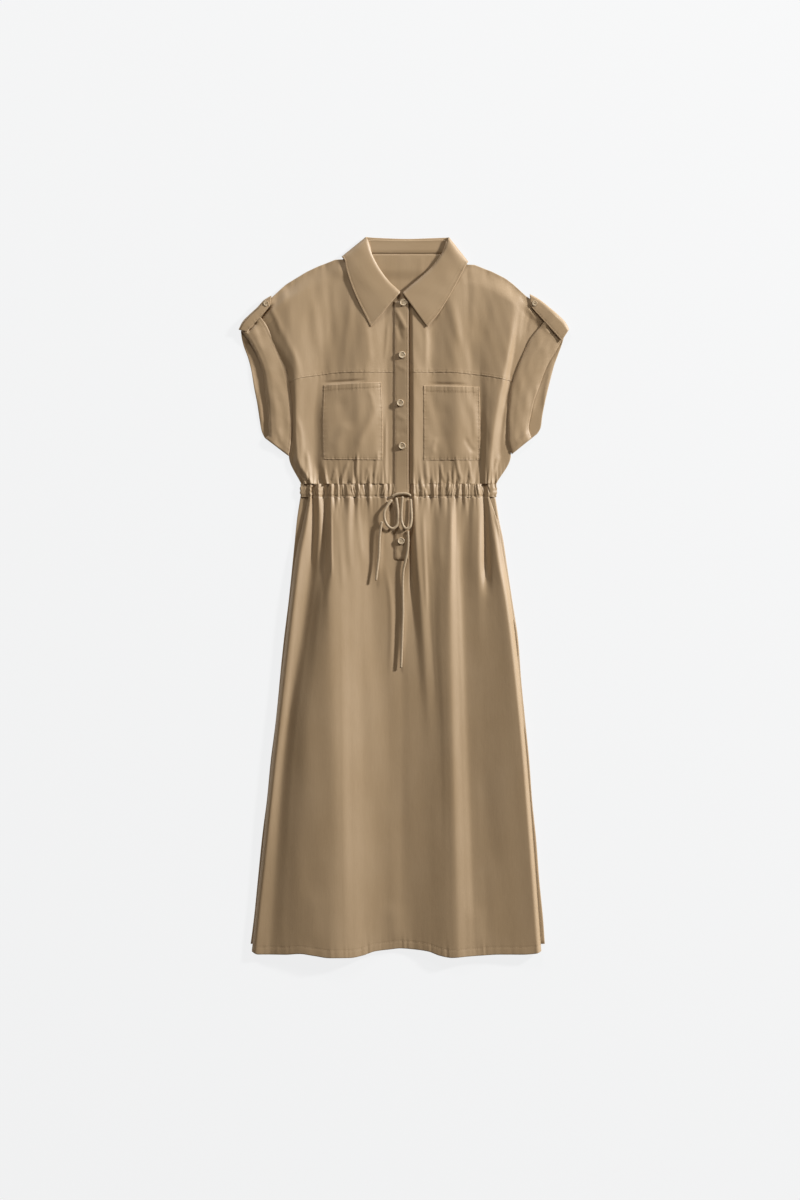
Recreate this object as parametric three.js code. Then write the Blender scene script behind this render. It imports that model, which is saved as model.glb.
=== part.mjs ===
// A shirt dress laid flat on its back. Millimetres, +Z up from the surface, +Y to the collar.
// Right and left are the wearer's, so the right side lies at -X.
import * as THREE from 'three';

// Driving dimensions
const WALL = 1.2; // cloth thickness
const GAP = 0.3; // clearance between pieces at a seam
const WAIST_TOP = 183.7; // seam of bodice and waist casing
const WAIST_BOTTOM = 162.4; // seam of waist casing and skirt
const BAND_TOP = 482.5; // upper end of the button band
const BAND_END = 59; // lower end of the button band
const BACK_HEM = -570; // hem of the back skirt
const BACK_NECK = 561.5; // seam of back bodice and collar stand
const BUTTON_DIAMETER = 11.5;
const TAB_BUTTON_DIAMETER = 8.5;
const CORD_DIAMETER = 4.6; // drawstring
const SEAM_LAP = 3; // how far a rolled edge runs in under its neighbour
const TUCKED_HEIGHT = 2.1; // lift of the layers above a tucked collar or tab
const TOP_SLOPE = 34; // length over which the front sinks to the shoulder fold
const RUFFLE_HEIGHT = 2.4; // tallest gather beside the casing
const RUFFLE_REACH = 44; // length of the longest gather

// Heights of the middle of a wall
const HALF = WALL / 2;
const LAYER = WALL + GAP;
const BACK_Z = HALF;
const FRONT_Z = BACK_Z + LAYER;

// Colours of the materials
const CLOTH_COLOUR = 0xb29876;
const CORD_COLOUR = 0xbda27e;
const BUTTON_COLOUR = 0xa88e6c;

// Fold lines of the right front, from armhole to front edge. Each row gives the line's x and
// the height z of the cloth's middle at the levels, and how strongly it gathers at the waist.
const FRONT_LEVELS = [556, 485.4, 419.8, 360.8, 288.6, 228, 183.7];
const RIGHT_FOLDS = [
  { name: 'edge', x: [-285, -243, -220, -196, -190, -188, -168],
    z: [2.4, 2.4, 2.3, 2.3, 2.3, 2.3, 3], gather: 0.3 },
  { name: 'armhole dip', x: [-232, -223, -208, -185, -177, -175, -160],
    z: [3, 3.2, 2.8, 2.7, 2.6, 2.8, 5], gather: 0.8 },
  { name: 'shoulder ridge', x: [-183, -180, -168, -162, -155, -150, -147],
    z: [6, 6.5, 7, 7.5, 8, 8.5, 6.5], gather: 1 },
  { name: 'side trough', x: [-150, -144, -141, -139, -138, -137, -132],
    z: [5.5, 6.3, 6.8, 5.5, 3.2, 2.8, 3.2], gather: 0 },
  { name: 'pocket side', x: [-134, -129, -129, -132, -133, -131, -124],
    z: [5.4, 6.2, 6.6, 6.8, 7, 7.5, 6], gather: 1 },
  { name: 'soft line 1', x: [-123, -118, -118, -119, -118, -115, -111],
    z: [5.3, 5.8, 6.2, 6.4, 6.6, 6.9, 5.4], gather: 0.9 },
  { name: 'soft line 2', x: [-111, -108, -108, -104, -101, -96, -98],
    z: [5.2, 5.4, 5.8, 6, 6.2, 6.4, 5.2], gather: 0.7 },
  { name: 'soft line 3', x: [-100, -96, -93, -90, -87, -83, -84],
    z: [5.1, 4.9, 5, 5.4, 6.1, 6.5, 5.2], gather: 1 },
  { name: 'yoke dip', x: [-86, -83, -77, -75, -72, -70, -70],
    z: [5, 4.4, 4.2, 5, 6, 6.6, 5.2], gather: 0.9 },
  { name: 'chest ridge', x: [-65, -60, -54, -52, -52, -52, -49],
    z: [5, 5.5, 6.2, 6.2, 6.4, 6.8, 5.3], gather: 0.8 },
  { name: 'pocket inner', x: [-49, -44, -41, -36, -35, -35, -36],
    z: [4.5, 4.8, 5.4, 6.4, 7.2, 7.4, 5.4], gather: 0.9 },
  { name: 'band ridge', x: [-39, -34, -32, -31, -29, -28, -27],
    z: [4.5, 6.2, 6.8, 7.2, 7.8, 7.8, 5.6], gather: 0.6 },
  { name: 'band dip', x: [-29, -24, -24, -23, -22, -22, -20],
    z: [4.3, 4.3, 4.3, 4.3, 4.3, 4.3, 4.4], gather: 0.1 },
  { name: 'band side', x: [-15, -15, -15, -15, -15, -15, -15],
    z: [4.6, 4.6, 4.6, 4.6, 4.6, 4.6, 4.7], gather: 0 },
  { name: 'front edge', x: [9, 9, 9, 9, 9, 9, 9], z: [4.8, 4.8, 4.8, 4.8, 4.8, 4.8, 4.8], gather: 0 },
];

// Fold lines of the left front, from its underlap below the band to the armhole.
const LEFT_FOLDS = [
  { name: 'underlap', x: [-9, -9, -9, -9, -9, -9, -9], z: [2.4, 2.4, 2.4, 2.4, 2.4, 2.4, 2.4], gather: 0 },
  { name: 'band trough', x: [11, 11, 11, 11, 12, 12, 12],
    z: [2.5, 2.5, 2.5, 2.5, 2.5, 2.5, 2.6], gather: 0 },
  { name: 'band ridge', x: [18, 18, 22, 23, 23, 23, 21], z: [5, 5.6, 6, 6.4, 6.6, 6.8, 5.4], gather: 0.8 },
  { name: 'pocket inner', x: [32, 33, 33, 33, 33, 33, 33],
    z: [5.2, 6, 6.2, 6.2, 6.4, 6.4, 5.2], gather: 0.6 },
  { name: 'soft dip', x: [50, 50, 53, 53, 56, 59, 51], z: [4.8, 4.6, 4.6, 4.8, 5, 5.2, 5], gather: 0.9 },
  { name: 'soft line 1', x: [61, 63, 64, 64, 67, 70, 63], z: [5.1, 5.8, 6.1, 6, 5.9, 6, 5.2], gather: 0.7 },
  { name: 'chest ridge', x: [71, 74, 74, 74, 76, 79, 77], z: [5, 6, 7.4, 7.2, 6.8, 6.8, 5.5], gather: 1 },
  { name: 'soft line 2', x: [92, 97, 99, 102, 102, 104, 92],
    z: [5, 5.6, 6.2, 6.4, 6.4, 6.6, 5.2], gather: 0.8 },
  { name: 'soft line 3', x: [104, 108, 110, 113, 114, 114, 108],
    z: [4.8, 5.1, 5.5, 5.8, 6, 6.3, 5.2], gather: 0.9 },
  { name: 'pocket side', x: [115, 118, 122, 123, 125, 125, 122],
    z: [4.6, 4.6, 4.8, 5.2, 5.6, 6, 5.4], gather: 1 },
  { name: 'side trough', x: [136, 136, 135, 135, 135, 135, 133],
    z: [4.4, 4.6, 4.8, 4, 3, 2.7, 3.2], gather: 0 },
  { name: 'shoulder ridge', x: [178, 176, 171, 166, 158, 155, 141],
    z: [6.5, 8, 9, 9, 8.6, 8, 6], gather: 0.8 },
  { name: 'armhole dip', x: [215, 204, 192, 177, 166, 164, 146],
    z: [3, 2.9, 2.8, 2.7, 2.7, 3.2, 5], gather: 0.5 },
  { name: 'edge', x: [290, 246, 213, 187, 178, 175, 151],
    z: [2.4, 2.3, 2.3, 2.3, 2.3, 2.3, 3], gather: 0.3 },
];

// Fold lines of the front skirt and, at their first level, of the casing above it.
const SKIRT_LEVELS = [WAIST_BOTTOM, 124.6, 59, -6.6, -252.6, -592];
const SKIRT_FOLDS = [
  { name: 'right edge', x: [-156, -164, -178, -186, -214, -250],
    z: [4.2, 4.2, 4.2, 4.2, 4.2, 4.2], gather: 0.2 },
  { name: 'right ridge', x: [-153, -157, -165, -175, -205, -241],
    z: [6.5, 8, 9, 10, 10.5, 9], gather: 0.3 },
  { name: 'right trough', x: [-148, -147, -150, -153, -182, -210],
    z: [3.6, 3.2, 3.2, 3.2, 3.6, 4], gather: 0 },
  { name: 'small ridge', x: [-139, -138, -137, -139, -160, -182],
    z: [6.5, 8.5, 8, 7.5, 7, 6.5], gather: 0.8 },
  { name: 'waist trough', x: [-130, -128, -127, -128, -134, -150],
    z: [3.4, 4, 6.5, 10, 12, 10.5], gather: 0 },
  { name: 'main ridge', x: [-119, -118, -118, -114, -100, -106],
    z: [6.2, 11, 15, 18, 20.5, 17], gather: 0.9 },
  { name: 'slope 1', x: [-109, -107, -103, -100, -78, -83],
    z: [5.2, 7.5, 13.5, 18, 17.5, 14.5], gather: 0.7 },
  { name: 'slope 2', x: [-91, -90, -88, -85, -59, -60], z: [5.8, 10.5, 15, 17.5, 13.5, 11], gather: 1 },
  { name: 'slope 3', x: [-72, -70, -67, -64, -44, -46], z: [5.2, 7.5, 10.5, 13, 9.5, 8], gather: 0.9 },
  { name: 'centre dip', x: [-54, -50, -47, -42, -31, -31], z: [4.8, 5.2, 7, 9, 6.5, 5.5], gather: 0.8 },
  { name: 'band ridge', x: [-31, -30, -29, -27, -14, -13], z: [5.2, 8, 8.6, 9, 5.6, 4.6], gather: 0.7 },
  { name: 'band side', x: [-15, -15, -15, -9, -3, -1], z: [4.8, 5, 5.2, 5.4, 4.8, 4.4], gather: 0 },
  { name: 'front edge', x: [9, 9, 9, 5, 10, 14], z: [4.8, 5, 5.2, 5.4, 5.4, 5], gather: 0 },
  { name: 'band trough', x: [13, 14, 14, 15, 25, 28], z: [3, 2.9, 3, 4.4, 7, 6.5], gather: 0 },
  { name: 'left ridge 1', x: [20, 23, 28, 32, 43, 46], z: [5.4, 8.5, 10, 10.5, 9.8, 8.6], gather: 0.8 },
  { name: 'slope 4', x: [35, 36, 38, 41, 51, 56], z: [5, 6.2, 7.6, 8.8, 11, 9.6], gather: 0.9 },
  { name: 'left dip', x: [50, 50, 48, 50, 61, 68], z: [5, 4.8, 5.8, 7.4, 13, 11], gather: 0.8 },
  { name: 'slope 5', x: [64, 64, 64, 64, 71, 78], z: [5.2, 6.8, 9.6, 12, 16.5, 14], gather: 0.7 },
  { name: 'main ridge', x: [79, 79, 79, 79, 82, 90], z: [5.8, 10, 14, 17, 20, 17], gather: 1 },
  { name: 'slope 6', x: [95, 96, 97, 99, 109, 118], z: [5.2, 6.4, 9, 11.5, 13.5, 13], gather: 0.7 },
  { name: 'slope 7', x: [109, 110, 112, 113, 117, 124], z: [5.2, 7.2, 9.6, 11.4, 11, 11], gather: 0.9 },
  { name: 'pocket ridge', x: [122, 124, 125, 126, 125, 130], z: [5.8, 9, 11, 11.5, 9, 9], gather: 0.7 },
  { name: 'side trough', x: [132, 135, 137, 139, 141, 151], z: [3.2, 3.2, 3.4, 3.8, 5.5, 6], gather: 0 },
  { name: 'pocket slope', x: [136, 141, 146, 151, 168, 179], z: [5, 5.6, 7.2, 9, 9.6, 9.4], gather: 0.2 },
  { name: 'left ridge 2', x: [138, 146, 155, 165, 191, 209],
    z: [6.2, 7.8, 10.5, 12.5, 14.5, 13], gather: 0.1 },
  { name: 'left edge', x: [140, 152, 164, 175, 200, 226], z: [6.2, 6.4, 6.6, 6.4, 5.8, 5.2], gather: 0 },
];

// Outlines, as places [x, y] joined by smooth or straight lines.
const SHOULDER_RIGHT = [
  [-241, 464], [-219, 486.5], [-193, 510.5], [-158.7, 531.4], [-140.6, 540], [-112, 551], [-100, 551.5],
  [-84, 559], [-68.5, 550], [-50.4, 529.7], [-30.7, 511.7], [-11, 496.9], [9, 488.7],
];
const SHOULDER_LEFT = [
  [-9.4, 480.5], [9.4, 492], [33.2, 511], [56.2, 531.4], [74.2, 550], [86, 558.5],
  [104, 543], [116, 542.5], [144.7, 531.4], [166, 520.7], [179, 511], [200, 491.5], [241.5, 463.5],
];
const YOKE_SEAM_RIGHT = [
  [-196, 348], [-186, 352.6], [-170, 359], [-137, 364], [-104.5, 368], [-19, 369], [9, 369],
];
const YOKE_SEAM_LEFT = [[-9.4, 369], [59.4, 369], [125, 364], [182, 353.4]];
const HEM = [
  [-252, -580.6], [-239, -587], [-195, -587], [-170, -585.5], [-145.5, -588.8], [-121, -592], [-88, -592],
  [-68.5, -588.8], [-47, -582], [-22.5, -579], [-6, -577.3], [18.4, -579], [40, -582], [59.4, -588.8],
  [79, -592], [100, -590.4], [125, -588.8], [158, -587], [190.6, -587], [215, -585.5],
  [228.4, -579], [231.6, -571],
];

// Side folds of the back bodice and the back skirt: x of the right and left side at each y.
const BODICE_SIDES = {
  y: [563, 465, 444.4, 423, 400, 370.6, 341, 308.3, 275.5, 244.4, 229.6, 210, 197, 184],
  right: [
    -292, -240.7, -226, -216, -204.6, -193, -186.5,
    -183.3, -183.3, -186.5, -187.5, -180, -174, -168.5,
  ],
  left: [297, 241, 226.7, 208.5, 197.5, 186, 176.7, 173.5, 171.8, 171.8, 176, 166, 159, 152],
};
const SKIRT_SIDES = {
  y: [162, 124.6, 91.8, 59, -6.6, -72, -138, -203, -269, -335, -400, -466, -531, -571],
  right: [
    -169.3, -175, -178.3, -181.6, -188.2, -196.4, -203,
    -209.5, -217.7, -224.3, -232.5, -239, -245.6, -251,
  ],
  left: [150, 156, 162.8, 167.7, 177.5, 187.4, 192.3, 198.8, 205.4, 210.3, 217, 222, 228.4, 231.2],
};

// Cuffs: matching places on the seam side and on the hem side, from shoulder to underarm.
const CUFF_RIGHT = {
  frontSeam: [
    [-241, 464], [-226, 444.4], [-216, 423], [-204.6, 400], [-193, 370.6],
    [-186.5, 341], [-183.3, 308.3], [-183.3, 275.5], [-186.5, 244.4], [-189, 230],
  ],
  frontHem: [
    [-265.5, 435], [-258.7, 425], [-249, 410], [-239, 390], [-231, 364],
    [-226.7, 334.6], [-223.4, 308], [-221.8, 282], [-221, 265.7], [-226.5, 258.5],
  ],
  backSeam: [
    [-241, 464], [-226.4, 444.4], [-216.6, 423], [-205.2, 400], [-193.6, 370.6],
    [-187.1, 341], [-183.9, 308.3], [-183.9, 275.5], [-187.1, 244.4], [-189, 230],
  ],
  backHem: [
    [-266.5, 434], [-265.5, 425], [-262, 410], [-255.4, 392], [-249.7, 370.6],
    [-244.8, 341], [-239.8, 315], [-235.8, 288.6], [-232.5, 270.6], [-228, 260],
  ],
};
const CUFF_LEFT = {
  frontSeam: [
    [241.5, 463.5], [226.7, 444.4], [207, 419.8], [195.6, 395], [184, 365.7],
    [176.7, 341], [174, 318], [171.8, 288.6], [171.8, 259], [177.5, 233],
  ],
  frontHem: [
    [264, 434.5], [257.5, 417], [248, 400], [238, 384], [228.4, 362.4],
    [221, 341], [213.6, 321.4], [208, 297], [204.6, 275.5], [209, 258.5],
  ],
  backSeam: [
    [241.5, 463.5], [227.3, 444.4], [209, 423], [198, 400], [186.6, 370.6],
    [177.3, 341], [174, 308.3], [172.4, 275.5], [172.4, 248], [177.5, 233],
  ],
  backHem: [
    [264.5, 434], [259.5, 415], [253, 397], [246.4, 379], [241.5, 361],
    [235.8, 338], [230.8, 316.5], [226.7, 295], [224.3, 277], [219, 266.5],
  ],
};

// Shoulder tabs: the fold along the shoulder, and the free edge that lies on the front.
const TAB_RIGHT = {
  fold: [[-217, 492.5], [-228, 486], [-240, 473.5], [-253, 461.5], [-264.5, 449.5], [-270.8, 437]],
  edge: [[-219.7, 475], [-227.3, 466.7], [-234.8, 458.4], [-242.3, 450], [-249.9, 441.8], [-257.4, 433.5]],
};
const TAB_LEFT = {
  fold: [[207, 495], [222, 486.5], [238.5, 473.5], [253, 461], [265.5, 448], [270.8, 437.5]],
  edge: [[208, 475], [218, 463.7], [228.2, 452.4], [238.4, 441], [248.5, 429.8], [258.7, 418.5]],
};

// Collar: inner and outer edge of each piece from the right front round the back to the left
// front, with the heights of both edges. A z of SIDE is the outermost line of a side fold.
const SIDE = null;
const FALL = [
  { inner: [-6, 498], outer: [-54.5, 441.2], innerZ: 8.8, outerZ: 8.2 },
  { inner: [-14, 505.5], outer: [-63, 459], innerZ: 8.7, outerZ: 8.1 },
  { inner: [-23, 514], outer: [-73, 479], innerZ: 8.5, outerZ: 7.8 },
  { inner: [-39, 535], outer: [-85, 507], innerZ: 8.3, outerZ: 7.6 },
  { inner: [-52, 559.5], outer: [-94, 535], innerZ: 8, outerZ: 7.6 },
  { inner: [-58.2, 580], outer: [-97, 550], innerZ: 7.8, outerZ: 7.6 },
  { inner: [-62, 588.2], outer: [-101.3, 556.5], innerZ: SIDE, outerZ: SIDE },
  { inner: [-56, 587.5], outer: [-94, 550], innerZ: BACK_Z, outerZ: BACK_Z },
  { inner: [-28, 586], outer: [-50, 544.5], innerZ: BACK_Z, outerZ: BACK_Z },
  { inner: [6, 585], outer: [3, 543], innerZ: BACK_Z, outerZ: BACK_Z },
  { inner: [40, 586], outer: [55, 543.5], innerZ: BACK_Z, outerZ: BACK_Z },
  { inner: [68, 587], outer: [98, 545], innerZ: BACK_Z, outerZ: BACK_Z },
  { inner: [74.2, 587.4], outer: [105.4, 548], innerZ: SIDE, outerZ: SIDE },
  { inner: [71, 580], outer: [101, 541], innerZ: 7.8, outerZ: 7.6 },
  { inner: [64, 564], outer: [93, 525], innerZ: 8, outerZ: 7.6 },
  { inner: [48, 541], outer: [73, 489], innerZ: 8.3, outerZ: 7.6 },
  { inner: [27, 521.5], outer: [56, 462], innerZ: 8.5, outerZ: 7.8 },
  { inner: [11, 508], outer: [47, 451], innerZ: 8.7, outerZ: 8.1 },
  { inner: [-2, 497], outer: [38.5, 441.2], innerZ: 8.8, outerZ: 8.2 },
];
const STAND = [
  { inner: [-7, 496], outer: [-18, 487.5], innerZ: 6.7, outerZ: 6.6 },
  { inner: [-23, 511.5], outer: [-35.7, 502], innerZ: 6.3, outerZ: 6 },
  { inner: [-39, 532.5], outer: [-52, 523], innerZ: 5.9, outerZ: 5.6 },
  { inner: [-51, 556], outer: [-66.8, 548], innerZ: 5.8, outerZ: 5.8 },
  { inner: [-56, 575], outer: [-73.5, 562], innerZ: 5.8, outerZ: 5.8 },
  { inner: [-59, 582], outer: [-77, 567], innerZ: SIDE, outerZ: SIDE },
  { inner: [-53, 583.5], outer: [-71, 563.5], innerZ: FRONT_Z, outerZ: FRONT_Z },
  { inner: [-22, 583], outer: [-40, 562.2], innerZ: FRONT_Z, outerZ: FRONT_Z },
  { inner: [6, 582.5], outer: [3, 562.2], innerZ: FRONT_Z, outerZ: FRONT_Z },
  { inner: [36, 583], outer: [44, 562.2], innerZ: FRONT_Z, outerZ: FRONT_Z },
  { inner: [63, 583.5], outer: [75, 563.5], innerZ: FRONT_Z, outerZ: FRONT_Z },
  { inner: [69.5, 582], outer: [84, 567], innerZ: SIDE, outerZ: SIDE },
  { inner: [68, 575], outer: [82, 560], innerZ: 5.8, outerZ: 5.8 },
  { inner: [62.5, 562], outer: [76, 549], innerZ: 5.8, outerZ: 5.8 },
  { inner: [46, 539], outer: [59, 527], innerZ: 5.9, outerZ: 5.6 },
  { inner: [25, 519.5], outer: [37, 508], innerZ: 6.3, outerZ: 6 },
  { inner: [-2, 495.5], outer: [7.5, 485.5], innerZ: 6.7, outerZ: 6.6 },
];

// Buttons down the band and on the tabs
const BAND_BUTTONS = [[-1.2, 481], [-2.9, 395.2], [-6, 316.5], [-2.9, 246], [-4.5, 90.2]];
const TAB_BUTTONS = { right: [-225.5, 479], left: [214.5, 479.5] };

// Drawstring routes, as places [x, y, z] of the cord's middle.
const CORD_ROUTES = {
  drawstring_band: [[-20, 162.5, 9.2], [-12, 166.5, 9.9], [-3, 168, 10.1], [5, 167.5, 9.9], [12, 164, 9.2]],
  drawstring_loop_right: [
    [-19.3, 157.6, 9.4], [-26, 149, 10.6], [-31.5, 138, 11.5], [-31, 124.6, 11.7], [-25.5, 114.5, 11.4],
    [-18, 110.5, 10.6], [-11, 116, 10.3], [-9.2, 127, 10.1], [-9.8, 141, 10], [-11, 152, 9.9],
    [-12.5, 161.3, 9.9],
  ],
  drawstring_loop_left: [
    [-2, 163.4, 10], [-3, 150, 10.2], [-4, 134, 10.8], [-2.8, 119.5, 11.6], [3, 110.5, 12.2],
    [9.5, 112.5, 12.2], [12.6, 124.6, 11.4], [12.2, 142.7, 10.4], [11.3, 159.2, 9.4],
  ],
  drawstring_tail_right: [
    [-35.4, 122.4, 11], [-37.6, 112, 10.9], [-39.8, 92, 10.9], [-40.6, 68, 11.2], [-43, 47, 11.5],
    [-45.6, 25, 12.4],
  ],
  drawstring_tail_left: [
    [6.6, 106.6, 10], [7.2, 90, 9.9], [6.2, 74, 10.1], [3, 58, 10], [-0.6, 42, 9.2],
    [-1.6, 20, 8.9], [-1.4, -4, 8.9], [-1.2, -28, 8.9], [-2.2, -54, 8.9], [-3, -80, 8.9], [-4.5, -118, 9.1],
  ],
};

function material(colour, roughness) {
  return new THREE.MeshStandardMaterial({ color: colour, roughness, metalness: 0 });
}

function mix(a, b, t) {
  return a + (b - a) * t;
}

function ease(t) {
  const s = Math.min(1, Math.max(0, t));
  return s * s * (3 - 2 * s);
}

// A smooth curve through the values, which never swings past a ridge or a trough.
function smooth(xs, ys) {
  const steps = xs.slice(1).map((x, i) => x - xs[i]);
  const rates = steps.map((h, i) => (ys[i + 1] - ys[i]) / h);
  const slopes = xs.map((_, i) => {
    if (i === 0) return rates[0];
    if (i === xs.length - 1) return rates[i - 1];
    if (rates[i - 1] * rates[i] <= 0) return 0;
    const before = 2 * steps[i] + steps[i - 1];
    const after = steps[i] + 2 * steps[i - 1];
    return (before + after) / (before / rates[i - 1] + after / rates[i]);
  });
  return (x) => {
    if (x <= xs[0]) return ys[0];
    if (x >= xs[xs.length - 1]) return ys[ys.length - 1];
    let i = 0;
    while (x > xs[i + 1]) i += 1;
    const t = (x - xs[i]) / steps[i];
    const s = 1 - t;
    const ends = ys[i] * s * s * (1 + 2 * t) + ys[i + 1] * t * t * (3 - 2 * t);
    return ends + steps[i] * t * s * (s * slopes[i] - t * slopes[i + 1]);
  };
}

function outline(places) {
  return smooth(places.map((p) => p[0]), places.map((p) => p[1]));
}

function straight(places) {
  return (x) => {
    let i = 0;
    while (i < places.length - 2 && x > places[i + 1][0]) i += 1;
    const [a, b] = [places[i], places[i + 1]];
    return mix(a[1], b[1], (x - a[0]) / (b[0] - a[0]));
  };
}

function distanceToLine(x, y, a, b) {
  const length = Math.hypot(b[0] - a[0], b[1] - a[1]);
  const along = ((x - a[0]) * (b[0] - a[0]) + (y - a[1]) * (b[1] - a[1])) / (length * length);
  const t = Math.min(1, Math.max(0, along));
  return Math.hypot(x - mix(a[0], b[0], t), y - mix(a[1], b[1], t));
}

// How far layers are lifted where the collar and the tabs are tucked below them.
function lift(x, y) {
  const collar = ease((y - 516) / 20) * ease((130 - Math.abs(x - 2)) / 24);
  const tabs = [TAB_RIGHT, TAB_LEFT].map(({ fold }) => {
    return ease((31 - distanceToLine(x, y, fold[0], fold[5])) / 13);
  });
  return TUCKED_HEIGHT * Math.max(collar, ...tabs);
}

// The cloth of a folded panel: u counts along its fold lines, y runs down the dress.
function foldedCloth(levels, folds, gatherFrom, gatherSign) {
  const down = levels.map((y) => -y);
  const index = folds.map((_, i) => i);
  const across = folds.map((fold) => smooth(down, fold.x));
  const heights = folds.map((fold) => smooth(down, fold.z));
  const gathers = smooth(index, folds.map((fold) => fold.gather));
  return (u, y) => {
    const x = smooth(index, across.map((f) => f(-y)))(u);
    const reach = RUFFLE_REACH * (0.55 + 0.45 * gathers(u));
    const near = Math.max(0, 1 - (gatherSign * (y - gatherFrom)) / reach);
    const ruffle = RUFFLE_HEIGHT * gathers(u) * near * near * (0.5 + 0.5 * Math.cos(2 * Math.PI * u));
    return { x, z: smooth(index, heights.map((f) => f(-y)))(u) + ruffle };
  };
}

const rightCloth = foldedCloth(FRONT_LEVELS, RIGHT_FOLDS, WAIST_TOP, 1);
const leftCloth = foldedCloth(FRONT_LEVELS, LEFT_FOLDS, WAIST_TOP, 1);
const skirtCloth = foldedCloth(SKIRT_LEVELS, SKIRT_FOLDS, WAIST_BOTTOM, -1);

// Points of a folded panel between two lines across it, each with the wall's upright half
// thickness. The rows v run from 0 at the top line to 1 at the bottom line.
function panelGrid({ cloth, from, to, top, bottom, rows, finish = (point) => point }) {
  const columns = Array.from({ length: 2 * (to - from) + 1 }, (_, i) => from + i / 2);
  return rows.map((v) => columns.map((u) => {
    let y = 0;
    for (let pass = 0; pass < 14; pass += 1) {
      const { x } = cloth(u, y);
      y = mix(top(x), bottom(x), v);
    }
    const here = cloth(u, y);
    const [before, after] = [cloth(u - 0.2, y), cloth(u + 0.2, y)];
    const slope = (after.z - before.z) / Math.max(0.5, after.x - before.x);
    return finish({ x: here.x, y, z: here.z, half: HALF * Math.min(1.4, Math.hypot(1, slope)) });
  }));
}

// Moves a panel's points up through its thickness, for a piece that lies on it.
function movedOut(grid, layers) {
  return grid.map((row) => row.map((p) => ({ ...p, z: p.z + layers * (2 * p.half + GAP) })));
}

// One closed wall between an upper and a lower grid of points. A ring closes on itself along
// its rows.
function wall(upper, lower, ring = false) {
  const rowCount = upper.length;
  const count = upper[0].length;
  const positions = [...upper.flat(), ...lower.flat()].flatMap((p) => [p.x, p.y, p.z]);
  const top = (j, i) => j * count + (i % count);
  const under = (index) => index + rowCount * count;
  const faces = [];
  const spans = ring ? count : count - 1;
  const quad = (a, b, c, d) => faces.push(a, b, c, a, c, d);
  for (let j = 0; j < rowCount - 1; j += 1) {
    for (let i = 0; i < spans; i += 1) {
      const corners = [top(j, i), top(j + 1, i), top(j + 1, i + 1), top(j, i + 1)];
      quad(...corners);
      quad(...corners.reverse().map(under));
    }
  }
  const rim = (a, b) => quad(b, a, under(a), under(b));
  for (let i = 0; i < spans; i += 1) {
    rim(top(rowCount - 1, i), top(rowCount - 1, i + 1));
    rim(top(0, i + 1), top(0, i));
  }
  for (let j = 0; j < rowCount - 1 && !ring; j += 1) {
    rim(top(j, 0), top(j + 1, 0));
    rim(top(j + 1, count - 1), top(j, count - 1));
  }
  return facingOut(positions, faces);
}

// Turns the faces round where they enclose a negative volume.
function facingOut(positions, faces) {
  const corner = (index) => new THREE.Vector3().fromArray(positions, 3 * index);
  let volume = 0;
  for (let f = 0; f < faces.length; f += 3) {
    volume += corner(faces[f]).dot(corner(faces[f + 1]).cross(corner(faces[f + 2])));
  }
  const geometry = new THREE.BufferGeometry();
  geometry.setAttribute('position', new THREE.Float32BufferAttribute(positions, 3));
  geometry.setIndex(volume < 0 ? faces.reverse() : faces);
  return geometry;
}

function panelGeometry(grid) {
  const shifted = (sign) => grid.map((row) => row.map((p) => ({ x: p.x, y: p.y, z: p.z + sign * p.half })));
  return wall(shifted(1), shifted(-1));
}

// A wall on both sides of a sheet of points, which may fold over on itself. A level sheet
// keeps its thickness in the upright plane across it, so its two ends stay straight.
function sheetGeometry(grid, { ring = false, level = false } = {}) {
  const points = grid.map((row) => row.map((p) => new THREE.Vector3(p.x, p.y, p.z)));
  const count = points[0].length;
  const normal = (j, i) => {
    const near = [];
    for (const [r, s] of [[j - 1, i - 1], [j - 1, i], [j, i - 1], [j, i]]) {
      const outside = r < 0 || r >= points.length - 1 || (!ring && (s < 0 || s >= count - 1));
      if (outside) continue;
      const [left, right] = [(s + count) % count, (s + 1 + count) % count];
      const rising = points[r + 1][right].clone().sub(points[r][left]);
      const falling = points[r][right].clone().sub(points[r + 1][left]);
      const face = rising.cross(falling);
      if (level) face.y = 0;
      near.push(face.normalize());
    }
    const sum = near.reduce((total, face) => total.add(face), new THREE.Vector3()).normalize();
    const spread = near.reduce((total, face) => total + face.dot(sum), 0) / near.length;
    return sum.multiplyScalar(HALF / Math.max(0.75, spread));
  };
  const offsets = points.map((row, j) => row.map((_, i) => normal(j, i)));
  const moved = (sign) => points.map((row, j) => row.map((p, i) => {
    return p.clone().addScaledVector(offsets[j][i], sign);
  }));
  return wall(moved(1), moved(-1), ring);
}

// The highest of the points near a place, on which a button, tab or cord is seated.
function highestNear(points, x, y, reach) {
  const near = points.filter((p) => Math.hypot(p.x - x, p.y - y) < reach);
  return Math.max(...near.map((p) => p.z + p.half));
}

// Half circle over the edge of a fold, from the upper layer round to the lower one.
function sideFold(x, outward, upperZ, lowerZ) {
  const radius = (upperZ - lowerZ) / 2;
  return [0, 0.25, 0.5, 0.75, 1].map((part) => {
    const angle = Math.PI * part;
    const out = radius * (Math.sin(angle) - 1);
    return { x: x + outward * out, z: lowerZ + radius * (1 + Math.cos(angle)) };
  });
}

// Lets the front sink towards the shoulder fold and the neckline, but not at the button band.
function sunkTo(topLine) {
  return (p) => {
    const depth = ease((topLine(p.x) - p.y) / TOP_SLOPE);
    const beside = ease((Math.abs(p.x + 3) - 15) / 14);
    const sink = 1 - beside * (1 - depth);
    return { ...p, z: mix(FRONT_Z, p.z, sink) + lift(p.x, p.y) };
  };
}

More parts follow.
